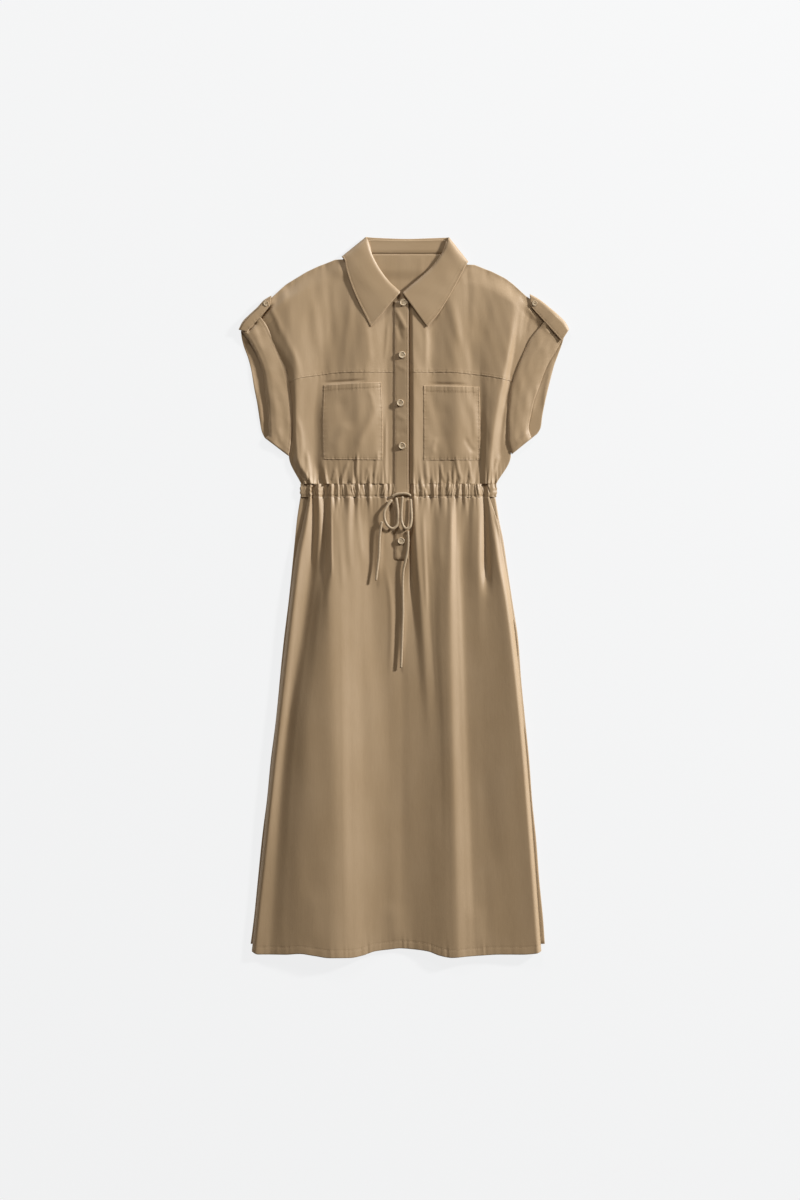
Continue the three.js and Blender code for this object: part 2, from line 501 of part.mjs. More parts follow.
const YOKE_ROWS = [0, 0.05, 0.12, 0.22, 0.38, 0.58, 0.79, 1];
const BODICE_ROWS = [0, 0.06, 0.12, 0.28, 0.45, 0.62, 0.78, 0.84, 0.89, 0.945, 1];
const POCKET_ROWS = [2, 6]; // the bodice rows at a pocket's top and bottom
const ROW_STEP = 1; // least distance between two rows of the button band
const shift = (line, distance) => (x) => line(x) + distance;

function frontGrids(cloth, folds, shoulder, seam) {
  const last = folds.length - 1;
  const [topLine, seamLine] = [straight(shoulder), outline(seam)];
  const yoke = panelGrid({
    cloth, from: 0, to: last, top: topLine, bottom: shift(seamLine, GAP / 2),
    rows: YOKE_ROWS, finish: sunkTo(topLine),
  });
  const bodice = panelGrid({
    cloth, from: 0, to: last, top: shift(seamLine, -GAP / 2), bottom: () => WAIST_TOP + GAP / 2,
    rows: BODICE_ROWS, finish: sunkTo(topLine),
  });
  return { yoke, bodice };
}

// A patch pocket between two fold lines, on the bodice's own points.
function pocketGrid(bodice, fromFold, toFold) {
  const rows = bodice.slice(POCKET_ROWS[0], POCKET_ROWS[1] + 1);
  return movedOut(rows.map((row) => row.slice(2 * fromFold, 2 * toFold + 1)), 1);
}

const SKIRT_ROWS = [0, 0.008, 0.02, 0.035, 0.055, 0.085, 0.13, 0.19, 0.27, 0.38, 0.5, 0.63, 0.76, 0.88, 1];

function frontSkirtGrid() {
  return panelGrid({
    cloth: skirtCloth, from: 0, to: SKIRT_FOLDS.length - 1,
    top: () => WAIST_BOTTOM - GAP / 2, bottom: outline(HEM), rows: SKIRT_ROWS,
  });
}

// The casing is a flattened ring: ruched front, side folds, and a back flat on the surface.
function casingFront(y) {
  const middle = (WAIST_TOP + WAIST_BOTTOM) / 2;
  const bulge = 1 - ((y - middle) / (WAIST_TOP - middle)) ** 2;
  const count = 2 * (SKIRT_FOLDS.length - 1) + 1;
  return Array.from({ length: count }, (_, i) => {
    const { x, z } = skirtCloth(i / 2, WAIST_BOTTOM);
    return { x, y, z: z + 0.7 * bulge * SKIRT_FOLDS[Math.round(i / 2)].gather, half: HALF };
  });
}

const CASING_ROWS = [WAIST_TOP - GAP / 2, 177, 169, WAIST_BOTTOM + GAP / 2];

function waistCasing() {
  const [right, left] = [SKIRT_SIDES.right[0], SKIRT_SIDES.left[0]];
  const rows = CASING_ROWS.map((y) => {
    const leftFold = sideFold(left + 2, 1, 4.8, BACK_Z);
    const rightFold = sideFold(right, -1, 4.6, BACK_Z).reverse();
    const back = [120, 80, 40, 0, -40, -80, -120].map((x) => ({ x, z: BACK_Z }));
    const flat = [{ x: 145.5, z: 5 }, ...leftFold, ...back, ...rightFold, { x: -161, z: 4.8 }];
    return [...casingFront(y), ...flat.map((p) => ({ ...p, y }))];
  });
  return sheetGeometry(rows, { ring: true, level: true });
}

// The back skirt lies flat, and its side edges turn up and over to the front.
function backSkirt() {
  const between = [124, 92, 59, -7, -72, -138, -203, -269, -335, -400, -466, -531];
  const depths = [WAIST_BOTTOM - GAP / 2, ...between, BACK_HEM];
  const belowSeam = 1.9; // drop of the rolled edges from the front's side seam
  const down = SKIRT_SIDES.y.map((y) => -y);
  const [rightSide, leftSide] = [smooth(down, SKIRT_SIDES.right), smooth(down, SKIRT_SIDES.left)];
  const last = SKIRT_FOLDS.length - 1;
  const rows = depths.map((y) => {
    const [right, left] = [rightSide(-y), leftSide(-y)];
    const [rightSeam, leftSeam] = [skirtCloth(0, y), skirtCloth(last, y)];
    const [rightZ, leftZ] = [rightSeam.z - belowSeam, leftSeam.z - belowSeam];
    const over = sideFold(left, 1, leftZ, BACK_Z);
    const under = sideFold(right, -1, rightZ, BACK_Z).reverse();
    const flat = [0.86, 0.72, 0.58, 0.44, 0.3, 0.15].map((part) => {
      return { x: mix(right, left, part), z: BACK_Z };
    });
    const leftEdge = { x: leftSeam.x - SEAM_LAP * 0.7, z: leftZ };
    const rightEdge = { x: rightSeam.x + SEAM_LAP * 0.7, z: rightZ };
    return [leftEdge, ...over, ...flat, ...under, rightEdge].map((p) => ({ ...p, y }));
  });
  return sheetGeometry(rows, { level: true });
}

function backBodice() {
  const down = BODICE_SIDES.y.map((y) => -y);
  const [rightSide, leftSide] = [smooth(down, BODICE_SIDES.right), smooth(down, BODICE_SIDES.left)];
  const inset = 0.45; // keeps the side edges clear of the cuffs
  const neck = [[-84, BACK_NECK - 2], [86, BACK_NECK - 2]];
  const cloth = (u, y) => ({ x: mix(rightSide(-y) + inset, leftSide(-y) - inset, u / 9), z: BACK_Z });
  const shoulder = [...SHOULDER_RIGHT.slice(0, 7), ...neck, ...SHOULDER_LEFT.slice(6)];
  const grid = panelGrid({
    cloth, from: 0, to: 9, top: straight(shoulder), bottom: () => WAIST_TOP + GAP / 2,
    rows: [0, 0.05, 0.12, 0.2, 0.3, 0.4, 0.5, 0.62, 0.74, 0.84, 0.92, 1],
    finish: (p) => ({ ...p, half: HALF, z: BACK_Z + lift(p.x, p.y) }),
  });
  return panelGeometry(grid);
}

// The button band runs over yoke, bodice, casing and skirt on their own points.
function buttonBandGrid(yoke, bodice, casingRows, skirt) {
  const bandSide = RIGHT_FOLDS.length - 2;
  const skirtSide = SKIRT_FOLDS.findIndex((fold) => fold.name === 'band side');
  const cut = (row, first) => row.slice(2 * first, 2 * first + 3);
  const between = (row) => row.every((p) => p.y < BAND_TOP - ROW_STEP && p.y > BAND_END + ROW_STEP);
  const upper = yoke.map((row) => cut(row, bandSide)).filter(between);
  const top = upper[0].map((p) => ({ ...p, y: BAND_TOP }));
  const lower = skirt.map((row) => cut(row, skirtSide)).filter(between);
  const end = [0, 0.5, 1].map((part) => {
    const here = skirtCloth(skirtSide + part, BAND_END);
    return { ...here, y: BAND_END, half: HALF };
  });
  const chest = bodice.map((row) => cut(row, bandSide));
  const waist = casingRows.map((row) => cut(row, skirtSide));
  const rows = [top];
  for (const row of [...upper, ...chest, ...waist, ...lower, end]) {
    if (rows.at(-1)[1].y - row[1].y > ROW_STEP) rows.push(row);
  }
  const lifted = movedOut(rows, 1);
  return lifted.map((row) => row.map((p, i) => ({ ...p, x: i === 2 ? 8.6 : p.x })));
}

// A sleeve cuff: a flattened ring round the arm, its seam side at the armhole.
function sleeveCuff({ frontSeam, frontHem, backSeam, backHem }) {
  const steps = frontSeam.map((_, i) => i);
  const line = (places) => {
    const [x, y] = [0, 1].map((axis) => smooth(steps, places.map((p) => p[axis])));
    return (t) => ({ x: x(t), y: y(t) });
  };
  const [frontIn, frontOut, backIn, backOut] = [frontSeam, frontHem, backSeam, backHem].map(line);
  const last = steps.length - 1;
  const turn = 0.14;
  const inner = [0.7, 1.4, 2.1, 2.8, 3.5, 4.2, 4.9, 5.6, 6.3, 7, 7.7, 8.4];
  const shares = [0, 0.33, 0.67, 1];
  const frontZ = [4.5, 5.6, 5.4, 4.3];
  const point = (seam, hem, t, share, z) => {
    const [a, b] = [seam(t), hem(t)];
    const [x, y] = [mix(a.x, b.x, share), mix(a.y, b.y, share)];
    return { x, y, z: z + lift(x, y) };
  };
  const rows = shares.map((share, j) => {
    const middle = (frontZ[j] + BACK_Z) / 2;
    const swell = (frontZ[j] - BACK_Z) / 2;
    const round = (t, sign) => middle + sign * swell * Math.sqrt(Math.max(0, 1 - (1 - t / turn) ** 2));
    const front = [0, 0.04, turn].map((t) => point(frontIn, frontOut, t, share, round(t, 1)));
    const along = inner.map((t) => point(frontIn, frontOut, t, share, frontZ[j]));
    const end = [turn, 0.04, 0].map((t) => point(frontIn, frontOut, last - t, share, round(t, 1)));
    const under = [0.04, turn].map((t) => point(backIn, backOut, last - t, share, round(t, -1)));
    const back = [...inner].reverse().map((t) => point(backIn, backOut, t, share, BACK_Z));
    const close = [turn, 0.04].map((t) => point(backIn, backOut, t, share, round(t, -1)));
    return [...front, ...along, ...end, ...under, ...back, ...close];
  });
  return { grid: rows, geometry: sheetGeometry(rows, { ring: true }) };
}

// A shoulder tab: lies on the front and turns under at the shoulder fold.
function shoulderTab({ fold, edge }, below) {
  const tucked = 12;
  const rows = fold.map((foldPlace, j) => {
    const edgePlace = edge[j];
    const width = Math.hypot(edgePlace[0] - foldPlace[0], edgePlace[1] - foldPlace[1]);
    const at = (distance, z) => {
      const share = distance / width;
      return { x: mix(foldPlace[0], edgePlace[0], share), y: mix(foldPlace[1], edgePlace[1], share), z };
    };
    const seats = [1, 0.6, 0.3].map((share) => {
      const place = at(width * share, 0);
      return highestNear(below, place.x, place.y, 14);
    });
    const topZ = Math.max(...seats) + GAP + HALF + 0.2;
    const turn = sideFold(0, -1, topZ, BACK_Z).map((p) => at(p.x + HALF, p.z));
    return [at(width, topZ - 0.3), at(width * 0.62, topZ), ...turn, at(tucked, BACK_Z)];
  });
  return { grid: rows, geometry: sheetGeometry(rows) };
}

// Collar fall or stand: a band that lies on the front, turns at both sides of the neck and
// runs behind it.
function collarBand(sections, shares, bulge) {
  const rows = [];
  sections.forEach((section, index) => {
    const place = (share, z) => {
      const [a, b] = [section.inner, section.outer];
      return { x: mix(a[0], b[0], share), y: mix(a[1], b[1], share), z };
    };
    if (section.innerZ === SIDE) {
      const [before, after] = [sections[index - 1], sections[index + 1]];
      const mean = (share, key) => mix(before[key + 'Z'], after[key + 'Z'], share);
      for (const part of [0.2, 0.5, 0.8]) {
        const angle = Math.PI * part;
        const swing = (1 - Math.cos(angle)) / 2;
        const back = 1 - Math.sin(angle);
        rows.push(shares.map((share) => {
          const here = place(share, mix(mean(swing, 'inner'), mean(swing, 'outer'), share));
          const side = part < 0.5 ? before : after;
          const [x, y] = [0, 1].map((axis) => mix(side.inner[axis], side.outer[axis], share));
          return { x: mix(here.x, x, back * 0.6), y: mix(here.y, y, back * 0.6), z: here.z };
        }));
      }
      return;
    }
    const front = section.innerZ > FRONT_Z;
    rows.push(shares.map((share) => {
      const swell = front ? bulge * 4 * share * (1 - share) : 0;
      return place(share, mix(section.innerZ, section.outerZ, share) + swell);
    }));
  });
  return sheetGeometry(rows);
}

function button(diameter, [x, y], below) {
  const radius = diameter / 2;
  const seat = highestNear(below, x, y, 16) + GAP;
  // Share of the radius, and height: flat below, rounded rim, dished middle.
  const profile = [[0, 0], [0.8, 0], [1, 0.8], [0.94, 2], [0.7, 2.2], [0.6, 1.5], [0, 1.5]];
  const turned = profile.map(([share, height]) => new THREE.Vector2(radius * share, height));
  const geometry = new THREE.LatheGeometry(turned, 16);
  geometry.rotateX(Math.PI / 2);
  const mesh = new THREE.Mesh(geometry, material(BUTTON_COLOUR, 0.4));
  mesh.position.set(x, y, seat);
  return mesh;
}

function cord(route) {
  const path = new THREE.CatmullRomCurve3(route.map((p) => new THREE.Vector3(...p)), false, 'centripetal');
  const section = new THREE.Shape();
  section.absarc(0, 0, CORD_DIAMETER / 2, 0, 2 * Math.PI);
  const steps = Math.ceil(path.getLength() / (1.8 * CORD_DIAMETER));
  return new THREE.ExtrudeGeometry(section, { extrudePath: path, steps, curveSegments: 4 });
}

const dress = new THREE.Group();

function add(name, geometry, finish = material(CLOTH_COLOUR, 0.8)) {
  const mesh = new THREE.Mesh(geometry, finish);
  mesh.name = name;
  dress.add(mesh);
}

const right = frontGrids(rightCloth, RIGHT_FOLDS, SHOULDER_RIGHT, YOKE_SEAM_RIGHT);
const left = frontGrids(leftCloth, LEFT_FOLDS, SHOULDER_LEFT, YOKE_SEAM_LEFT);
const skirt = frontSkirtGrid();
const foldIndex = (folds, name) => folds.findIndex((fold) => fold.name === name);
const pocketFolds = (folds) => ['pocket side', 'pocket inner'].map((name) => foldIndex(folds, name));

add('back_bodice', backBodice());
add('back_skirt', backSkirt());
add('waist_casing', waistCasing());
add('front_skirt', panelGeometry(skirt));
add('front_yoke_right', panelGeometry(right.yoke));
add('front_yoke_left', panelGeometry(left.yoke));
add('front_bodice_right', panelGeometry(right.bodice));
add('front_bodice_left', panelGeometry(left.bodice));

const pockets = {
  right: pocketGrid(right.bodice, ...pocketFolds(RIGHT_FOLDS)),
  left: pocketGrid(left.bodice, ...pocketFolds(LEFT_FOLDS).reverse()),
};
add('chest_pocket_right', panelGeometry(pockets.right));
add('chest_pocket_left', panelGeometry(pockets.left));

const band = buttonBandGrid(right.yoke, right.bodice, CASING_ROWS.map(casingFront), skirt);
add('button_band', panelGeometry(band));

const cuffs = { right: sleeveCuff(CUFF_RIGHT), left: sleeveCuff(CUFF_LEFT) };
const withHalf = (grid) => grid.flat().map((p) => ({ ...p, half: HALF }));
const tabs = {
  right: shoulderTab(TAB_RIGHT, [...right.yoke.flat(), ...withHalf(cuffs.right.grid)]),
  left: shoulderTab(TAB_LEFT, [...left.yoke.flat(), ...withHalf(cuffs.left.grid)]),
};
for (const side of ['right', 'left']) {
  add(`sleeve_cuff_${side}`, cuffs[side].geometry);
  add(`shoulder_tab_${side}`, tabs[side].geometry);
}

add('collar_stand', collarBand(STAND, [0, 0.5, 1], 0));
add('collar_fall', collarBand(FALL, [0, 0.25, 0.5, 0.75, 1], 1.6));

BAND_BUTTONS.forEach((place, i) => {
  const mesh = button(BUTTON_DIAMETER, place, band.flat());
  mesh.name = `button_${i + 1}`;
  dress.add(mesh);
});
for (const side of ['right', 'left']) {
  const mesh = button(TAB_BUTTON_DIAMETER, TAB_BUTTONS[side], withHalf(tabs[side].grid));
  mesh.name = `tab_button_${side}`;
  dress.add(mesh);
}
for (const [name, route] of Object.entries(CORD_ROUTES)) {
  add(name, cord(route), material(CORD_COLOUR, 0.8));
}

export default dress;
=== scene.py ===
# %% [markdown]
# # A shirt dress laid flat
#
# The real dress is cut from one thin, smooth cloth: a back and a front bodice with yokes, a
# gathered skirt, a ruched casing with a drawstring at the waist, a button band, two chest
# pockets, turned cuffs with tabs, and a shirt collar. It lies on its back on a pale surface
# and is seen from straight above.
#
# A flat garment could be simulated, but its folds would then fall where they like. Here each
# piece is a thin shell over its own fold lines: named lines down the cloth with a place and a
# height at a few levels, the same as in the solids, and finer creases between them.
#
# Right and left are the wearer's, so the right side lies at -X. Tables are in millimetres.

import math

import bmesh
import bpy
import numpy as np
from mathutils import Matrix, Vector


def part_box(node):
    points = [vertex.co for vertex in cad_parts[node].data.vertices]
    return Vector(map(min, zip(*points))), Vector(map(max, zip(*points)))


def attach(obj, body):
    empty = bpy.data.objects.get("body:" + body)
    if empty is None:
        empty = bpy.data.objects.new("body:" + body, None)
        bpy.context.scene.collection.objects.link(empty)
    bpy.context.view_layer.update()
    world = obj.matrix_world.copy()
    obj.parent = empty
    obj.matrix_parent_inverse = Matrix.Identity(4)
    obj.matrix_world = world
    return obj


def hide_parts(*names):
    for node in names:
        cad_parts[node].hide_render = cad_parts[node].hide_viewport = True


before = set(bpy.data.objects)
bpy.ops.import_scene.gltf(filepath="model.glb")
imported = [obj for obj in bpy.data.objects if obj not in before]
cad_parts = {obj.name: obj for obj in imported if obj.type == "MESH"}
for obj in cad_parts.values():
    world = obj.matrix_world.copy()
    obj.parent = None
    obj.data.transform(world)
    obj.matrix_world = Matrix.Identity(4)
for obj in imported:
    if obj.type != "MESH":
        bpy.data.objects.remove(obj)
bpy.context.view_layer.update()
MM = 0.001
print("CAD nodes:", len(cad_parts))

# %% [markdown]
# ## Camera
#
# The camera hangs straight above the surface, so the dress shows without perspective tilt. A
# distance of six metres keeps the high folds from spreading outwards.

# %% Camera
CAMERA_HEIGHT = 6.0
SENSOR = 36
FIELD_LENGTH = 1.968  # metres covered by the long side of the picture
VIEW_CENTRE = (-0.00615, -0.00656)

lens_data = bpy.data.cameras.new("camera")
lens_data.sensor_width = SENSOR
lens_data.lens = SENSOR * CAMERA_HEIGHT / FIELD_LENGTH
camera = bpy.data.objects.new("camera", lens_data)
camera.location = (*VIEW_CENTRE, CAMERA_HEIGHT)
bpy.context.collection.objects.link(camera)
bpy.context.scene.camera = camera
print(f"lens {lens_data.lens:.1f} mm")

# %% [markdown]
# ## Meshes from grids
#
# Every piece is made from a grid of points in the middle of its wall. A shell moves them half
# the wall's thickness both ways and closes the edge with one rounded row, so that the edge
# catches light as turned cloth does. Arc lengths along the grid are the UV map, so weave
# follows the cloth over each fold.

# %% Grid helpers
def mix(a, b, t):
    return a + (b - a) * t


def ease(t):
    t = np.clip(t, 0, 1)
    return t * t * (3 - 2 * t)


def unit(vectors):
    length = np.linalg.norm(vectors, axis=-1, keepdims=True)
    return vectors / np.maximum(length, 1e-9)


def difference(points, axis, ring=False):
    """Central differences along a grid axis, one-sided at an open edge."""
    if ring:
        return np.roll(points, -1, axis) - np.roll(points, 1, axis)
    return np.gradient(points, axis=axis)


def grid_normals(points, ring=False):
    return unit(np.cross(difference(points, 0), difference(points, 1, ring)))


def travelled(points, axis):
    """Arc length along a grid axis, counted from its middle."""
    steps = np.linalg.norm(np.diff(points, axis=axis), axis=-1)
    total = np.insert(np.cumsum(steps, axis=axis), 0, 0, axis=axis)
    return total - np.take(total, [total.shape[axis] // 2], axis=axis)


def edge_loops(rows, columns, ring):
    """Grid indices round each open edge, each with the index next to it inside the grid."""
    index = np.arange(rows * columns).reshape(rows, columns)
    if ring:
        return [(index[0], index[1]), (index[-1][::-1], index[-2][::-1])]
    inner = index[1:-1, 1:-1]
    inner = np.pad(inner, 1, mode="edge")
    around = [np.s_[0, :-1], np.s_[:-1, -1], np.s_[-1, :0:-1], np.s_[:0:-1, 0]]
    return [(np.concatenate([index[s] for s in around]), np.concatenate([inner[s] for s in around]))]


def shell_mesh(name, points, thickness, ring=False):
    """A closed wall on both sides of a grid of points in millimetres, with its UV map."""
    rows, columns = points.shape[:2]
    normals = grid_normals(points, ring)
    flat, lift_off = points.reshape(-1, 3), normals.reshape(-1, 3) * thickness / 2
    count = len(flat)
    index = np.arange(count).reshape(rows, columns)
    if ring:
        index = np.hstack([index, index[:, :1]])
    quads = np.stack([index[:-1, :-1], index[1:, :-1], index[1:, 1:], index[:-1, 1:]], -1).reshape(-1, 4)
    vertices, faces = [flat + lift_off, flat - lift_off], [quads, quads[:, ::-1] + count]
    uv = np.stack([travelled(points, 1), travelled(points, 0)], -1).reshape(-1, 2)
    uvs, edge = [uv, uv], [np.zeros(count), np.zeros(count)]
    start = 2 * count
    for loop, inner in edge_loops(rows, columns, ring):
        along = unit(flat[np.roll(loop, -1)] - flat[np.roll(loop, 1)])
        outward = flat[loop] - flat[inner]
        outward = outward - along * np.sum(outward * along, -1, keepdims=True)
        rim = np.arange(len(loop)) + start
        following = np.roll(np.arange(len(loop)), -1)
        faces.append(np.stack([loop, loop[following], rim[following], rim], -1))
        faces.append(np.stack([rim, rim[following], loop[following] + count, loop + count], -1))
        vertices.append(flat[loop] + unit(outward) * thickness / 2)
        uvs.append(uv[loop])
        # The rim and the outermost points get 1 in the edge attribute, where the cloth material paints a paler
        # highlight.
        edge.append(np.ones(len(loop)))
        edge[0][loop] = edge[1][loop] = 1
        start += len(loop)
    return build_mesh(name, *map(np.concatenate, (vertices, faces, uvs, edge)))


def build_mesh(name, vertices, faces, uvs, edge):
    mesh = bpy.data.meshes.new(name)
    mesh.from_pydata((vertices * MM).tolist(), [], faces.tolist())
    corners = np.empty(len(mesh.loops), dtype=np.int64)
    mesh.loops.foreach_get("vertex_index", corners)
    layer = mesh.uv_layers.new(name="cloth")
    layer.data.foreach_set("uv", (uvs[corners] * MM).astype(np.float32).ravel())
    # The edge attribute carries the painted edge highlight that the cloth material mixes in.
    edge_highlight = mesh.attributes.new("edge", "FLOAT", "POINT")
    edge_highlight.data.foreach_set("value", edge.astype(np.float32))
    mesh.polygons.foreach_set("use_smooth", np.ones(len(mesh.polygons), dtype=bool))
    mesh.update()
    return mesh


def add_piece(name, mesh, finish, slot, *nodes):
    """Puts a finished mesh in the scene, in place of the CAD nodes it stands for."""
    piece = bpy.data.objects.new(name, mesh)
    bpy.context.collection.objects.link(piece)
    mesh.materials.clear()
    mesh.materials.append(finish)
    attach(piece, "root")
    if nodes:
        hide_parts(*nodes)
    return piece


# %% [markdown]
# ## Materials
#
# The cloth is a fine plain weave with a satin face: threads of under half a millimetre, faint
# upright slubs where a thread is thicker and a soft sheen. Its edges are painted slightly paler,
# a painted highlight for the light that a turned edge catches. The weave is bump, so it stays
# true from every side. The cord and the thread are the same yarn, and the buttons are a smooth,
# slightly glossy resin with a cloudy grain.

# %% Node helpers
def new_material(name, roughness, **values):
    made = bpy.data.materials.new(name)
    made.use_nodes = True
    shader = made.node_tree.nodes["Principled BSDF"]
    shader.inputs["Roughness"].default_value = roughness
    for socket, value in values.items():
        shader.inputs[socket.replace("_", " ").title()].default_value = value
    return made, made.node_tree, shader


def node(tree, kind, inputs=(), **settings):
    made = tree.nodes.new(kind)
    for key, value in settings.items():
        setattr(made, key, value)
    for socket, value in dict(inputs).items():
        if isinstance(value, bpy.types.NodeSocket):
            tree.links.new(value, made.inputs[socket])
        else:
            made.inputs[socket].default_value = value
    return made


def stretched(tree, source, scale):
    mapping = node(tree, "ShaderNodeMapping", {"Vector": source, "Scale": scale})
    return mapping.outputs["Vector"]


def noise(tree, source, scale, detail=2.0):
    made = node(tree, "ShaderNodeTexNoise", {"Vector": source, "Scale": scale, "Detail": detail})
    return made.outputs["Fac"]


def ramp(tree, value, low, high, steps=(0.3, 0.7)):
    made = node(tree, "ShaderNodeMapRange", {"Value": value, "From Min": steps[0], "From Max": steps[1]})
    made.inputs["To Min"].default_value = low
    made.inputs["To Max"].default_value = high
    return made.outputs["Result"]


def blended(tree, factor, a, b):
    made = node(tree, "ShaderNodeMix", data_type="RGBA")
    for socket, value in ((0, factor), (6, a), (7, b)):
        if isinstance(value, bpy.types.NodeSocket):
            tree.links.new(value, made.inputs[socket])
        else:
            made.inputs[socket].default_value = value
    return made.outputs[2]


def sum_of(tree, a, b, operation="ADD"):
    return node(tree, "ShaderNodeMath", {0: a, 1: b}, operation=operation).outputs[0]


# %% Cloth material
THREAD_PITCH = 0.00045
CLOTH_DARK = (0.37, 0.25, 0.136, 1)
CLOTH_MAIN = (0.43, 0.298, 0.165, 1)
CLOTH_PALE = (0.525, 0.376, 0.22, 1)


def threads(tree, source, direction, pitch):
    """Rounded threads side by side: a sine wave across the cloth."""
    return node(
        tree, "ShaderNodeTexWave",
        {"Vector": source, "Scale": 0.314 / pitch, "Distortion": 1.2, "Detail": 2.0, "Detail Scale": 1.0},
        wave_type="BANDS", bands_direction=direction,
    ).outputs["Fac"]


def cloth_material(name, dark, main, pale, roughness):
    made, tree, shader = new_material(name, roughness, sheen_weight=0.18, sheen_roughness=0.45)
    shader.inputs["Specular IOR Level"].default_value = 0.8
    surface = node(tree, "ShaderNodeUVMap", uv_map="cloth").outputs["UV"]
    slub = noise(tree, stretched(tree, surface, (620, 26, 1)), 1.0, 3.0)
    cloudy = noise(tree, stretched(tree, surface, (14, 9, 1)), 1.0, 3.0)
    edge_highlight = node(tree, "ShaderNodeAttribute", attribute_name="edge").outputs["Fac"]
    shade = blended(tree, ramp(tree, slub, 0.0, 0.35), main, dark)
    shade = blended(tree, ramp(tree, cloudy, 0.0, 0.22), shade, pale)
    # Painted highlight: the edges are mixed towards the pale colour, standing in for light caught by the turned
    # edge.
    shade = blended(tree, sum_of(tree, edge_highlight, 0.35, "MULTIPLY"), shade, pale)
    tree.links.new(shade, shader.inputs["Base Color"])
    tree.links.new(ramp(tree, cloudy, roughness - 0.06, roughness + 0.08), shader.inputs["Roughness"])
    weave = sum_of(tree, threads(tree, surface, "X", THREAD_PITCH), threads(tree, surface, "Y", THREAD_PITCH))
    relief = sum_of(tree, sum_of(tree, weave, 0.35, "MULTIPLY"), slub)
    rumple = noise(tree, stretched(tree, surface, (160, 60, 1)), 1.0, 2.0)
    fine = node(tree, "ShaderNodeBump", {"Height": relief, "Strength": 0.35, "Distance": 0.00012})
    soft = node(tree, "ShaderNodeBump", {"Height": rumple, "Strength": 0.16, "Distance": 0.0006})
    tree.links.new(fine.outputs[0], soft.inputs["Normal"])
    tree.links.new(soft.outputs[0], shader.inputs["Normal"])
    return made


cloth = cloth_material("cloth", CLOTH_DARK, CLOTH_MAIN, CLOTH_PALE, 0.52)
cord_cloth = cloth_material("cord", CLOTH_DARK, (0.47, 0.355, 0.22, 1), (0.58, 0.45, 0.3, 1), 0.52)


# %% Thread and button materials
def thread_material():
    made, tree, shader = new_material("thread", 0.5, sheen_weight=0.3)
    place = node(tree, "ShaderNodeTexCoord").outputs["Object"]
    wave = {"Vector": place, "Scale": 900.0, "Distortion": 1.5}
    twist = node(tree, "ShaderNodeTexWave", wave, bands_direction="DIAGONAL")
    shade = blended(tree, twist.outputs["Fac"], (0.4, 0.28, 0.16, 1), (0.56, 0.41, 0.25, 1))
    tree.links.new(shade, shader.inputs["Base Color"])
    return made


def button_material():
    made, tree, shader = new_material("button", 0.3, coat_weight=0.25, coat_roughness=0.2)
    place = node(tree, "ShaderNodeTexCoord").outputs["Object"]
    cloud = noise(tree, stretched(tree, place, (260, 130, 260)), 1.0, 4.0)
    shade = blended(tree, ramp(tree, cloud, 0, 1), (0.42, 0.31, 0.19, 1), (0.66, 0.53, 0.36, 1))
    tree.links.new(shade, shader.inputs["Base Color"])
    fine = noise(tree, place, 2400.0, 2.0)
    bump = node(tree, "ShaderNodeBump", {"Height": fine, "Strength": 0.08, "Distance": 0.0001})
    tree.links.new(bump.outputs[0], shader.inputs["Normal"])
    return made


thread = thread_material()
resin = button_material()
print("materials:", ", ".join(m.name for m in (cloth, cord_cloth, thread, resin)))

# %% [markdown]
# ## Drawstring
#
# The drawstring is a narrow tie, sewn from the same yarn and soft enough to lie flat on
# itself. It comes out of the casing as a cross band, makes two loops, and ends in a short and
# a long tail with cut ends. A tube with an oval section along a smooth route shows that better
# than a round cable, and it follows the route of the solid exactly.

# %% Drawstring routes
CORD_DIAMETER = 4.2
CORD_THICKNESS = 2.4  # the tie is a little flatter than it is wide
CORD_SETTLED = 0.6  # how much lower the flat tie lies than a round one
CORD_ROUTES = {
    "drawstring_band": [
        (-20, 162.5, 9.2), (-12, 166.5, 9.9), (-3, 168, 10.1), (5, 167.5, 9.9), (12, 164, 9.2),
    ],
    "drawstring_loop_right": [
        (-19.3, 157.6, 9.4), (-26, 149, 10.6), (-31.5, 138, 11.5), (-31, 124.6, 11.7), (-25.5, 114.5, 11.4),
        (-18, 110.5, 10.6), (-11, 116, 10.3), (-9.2, 127, 10.1), (-9.8, 141, 10), (-11, 152, 9.9),
        (-12.5, 161.3, 9.9),
    ],
    "drawstring_loop_left": [
        (-2, 163.4, 10), (-3, 150, 10.2), (-4, 134, 10.8), (-2.8, 119.5, 11.6), (3, 110.5, 12.2),
        (9.5, 112.5, 12.2), (12.6, 124.6, 11.4), (12.2, 142.7, 10.4), (11.3, 159.2, 9.4),
    ],
    "drawstring_tail_right": [
        (-35.4, 122.4, 11), (-37.6, 112, 10.9), (-39.8, 92, 10.9), (-40.6, 68, 11.2), (-43, 47, 11.5),
        (-45.6, 25, 12.4),
    ],
    "drawstring_tail_left": [
        (6.6, 106.6, 10), (7.2, 90, 9.9), (6.2, 74, 10.1), (3, 58, 10), (-0.6, 42, 9.2), (-1.6, 20, 8.9),
        (-1.4, -4, 8.9), (-1.2, -28, 8.9), (-2.2, -54, 8.9), (-3, -80, 8.9), (-4.5, -118, 9.1),
    ],
}


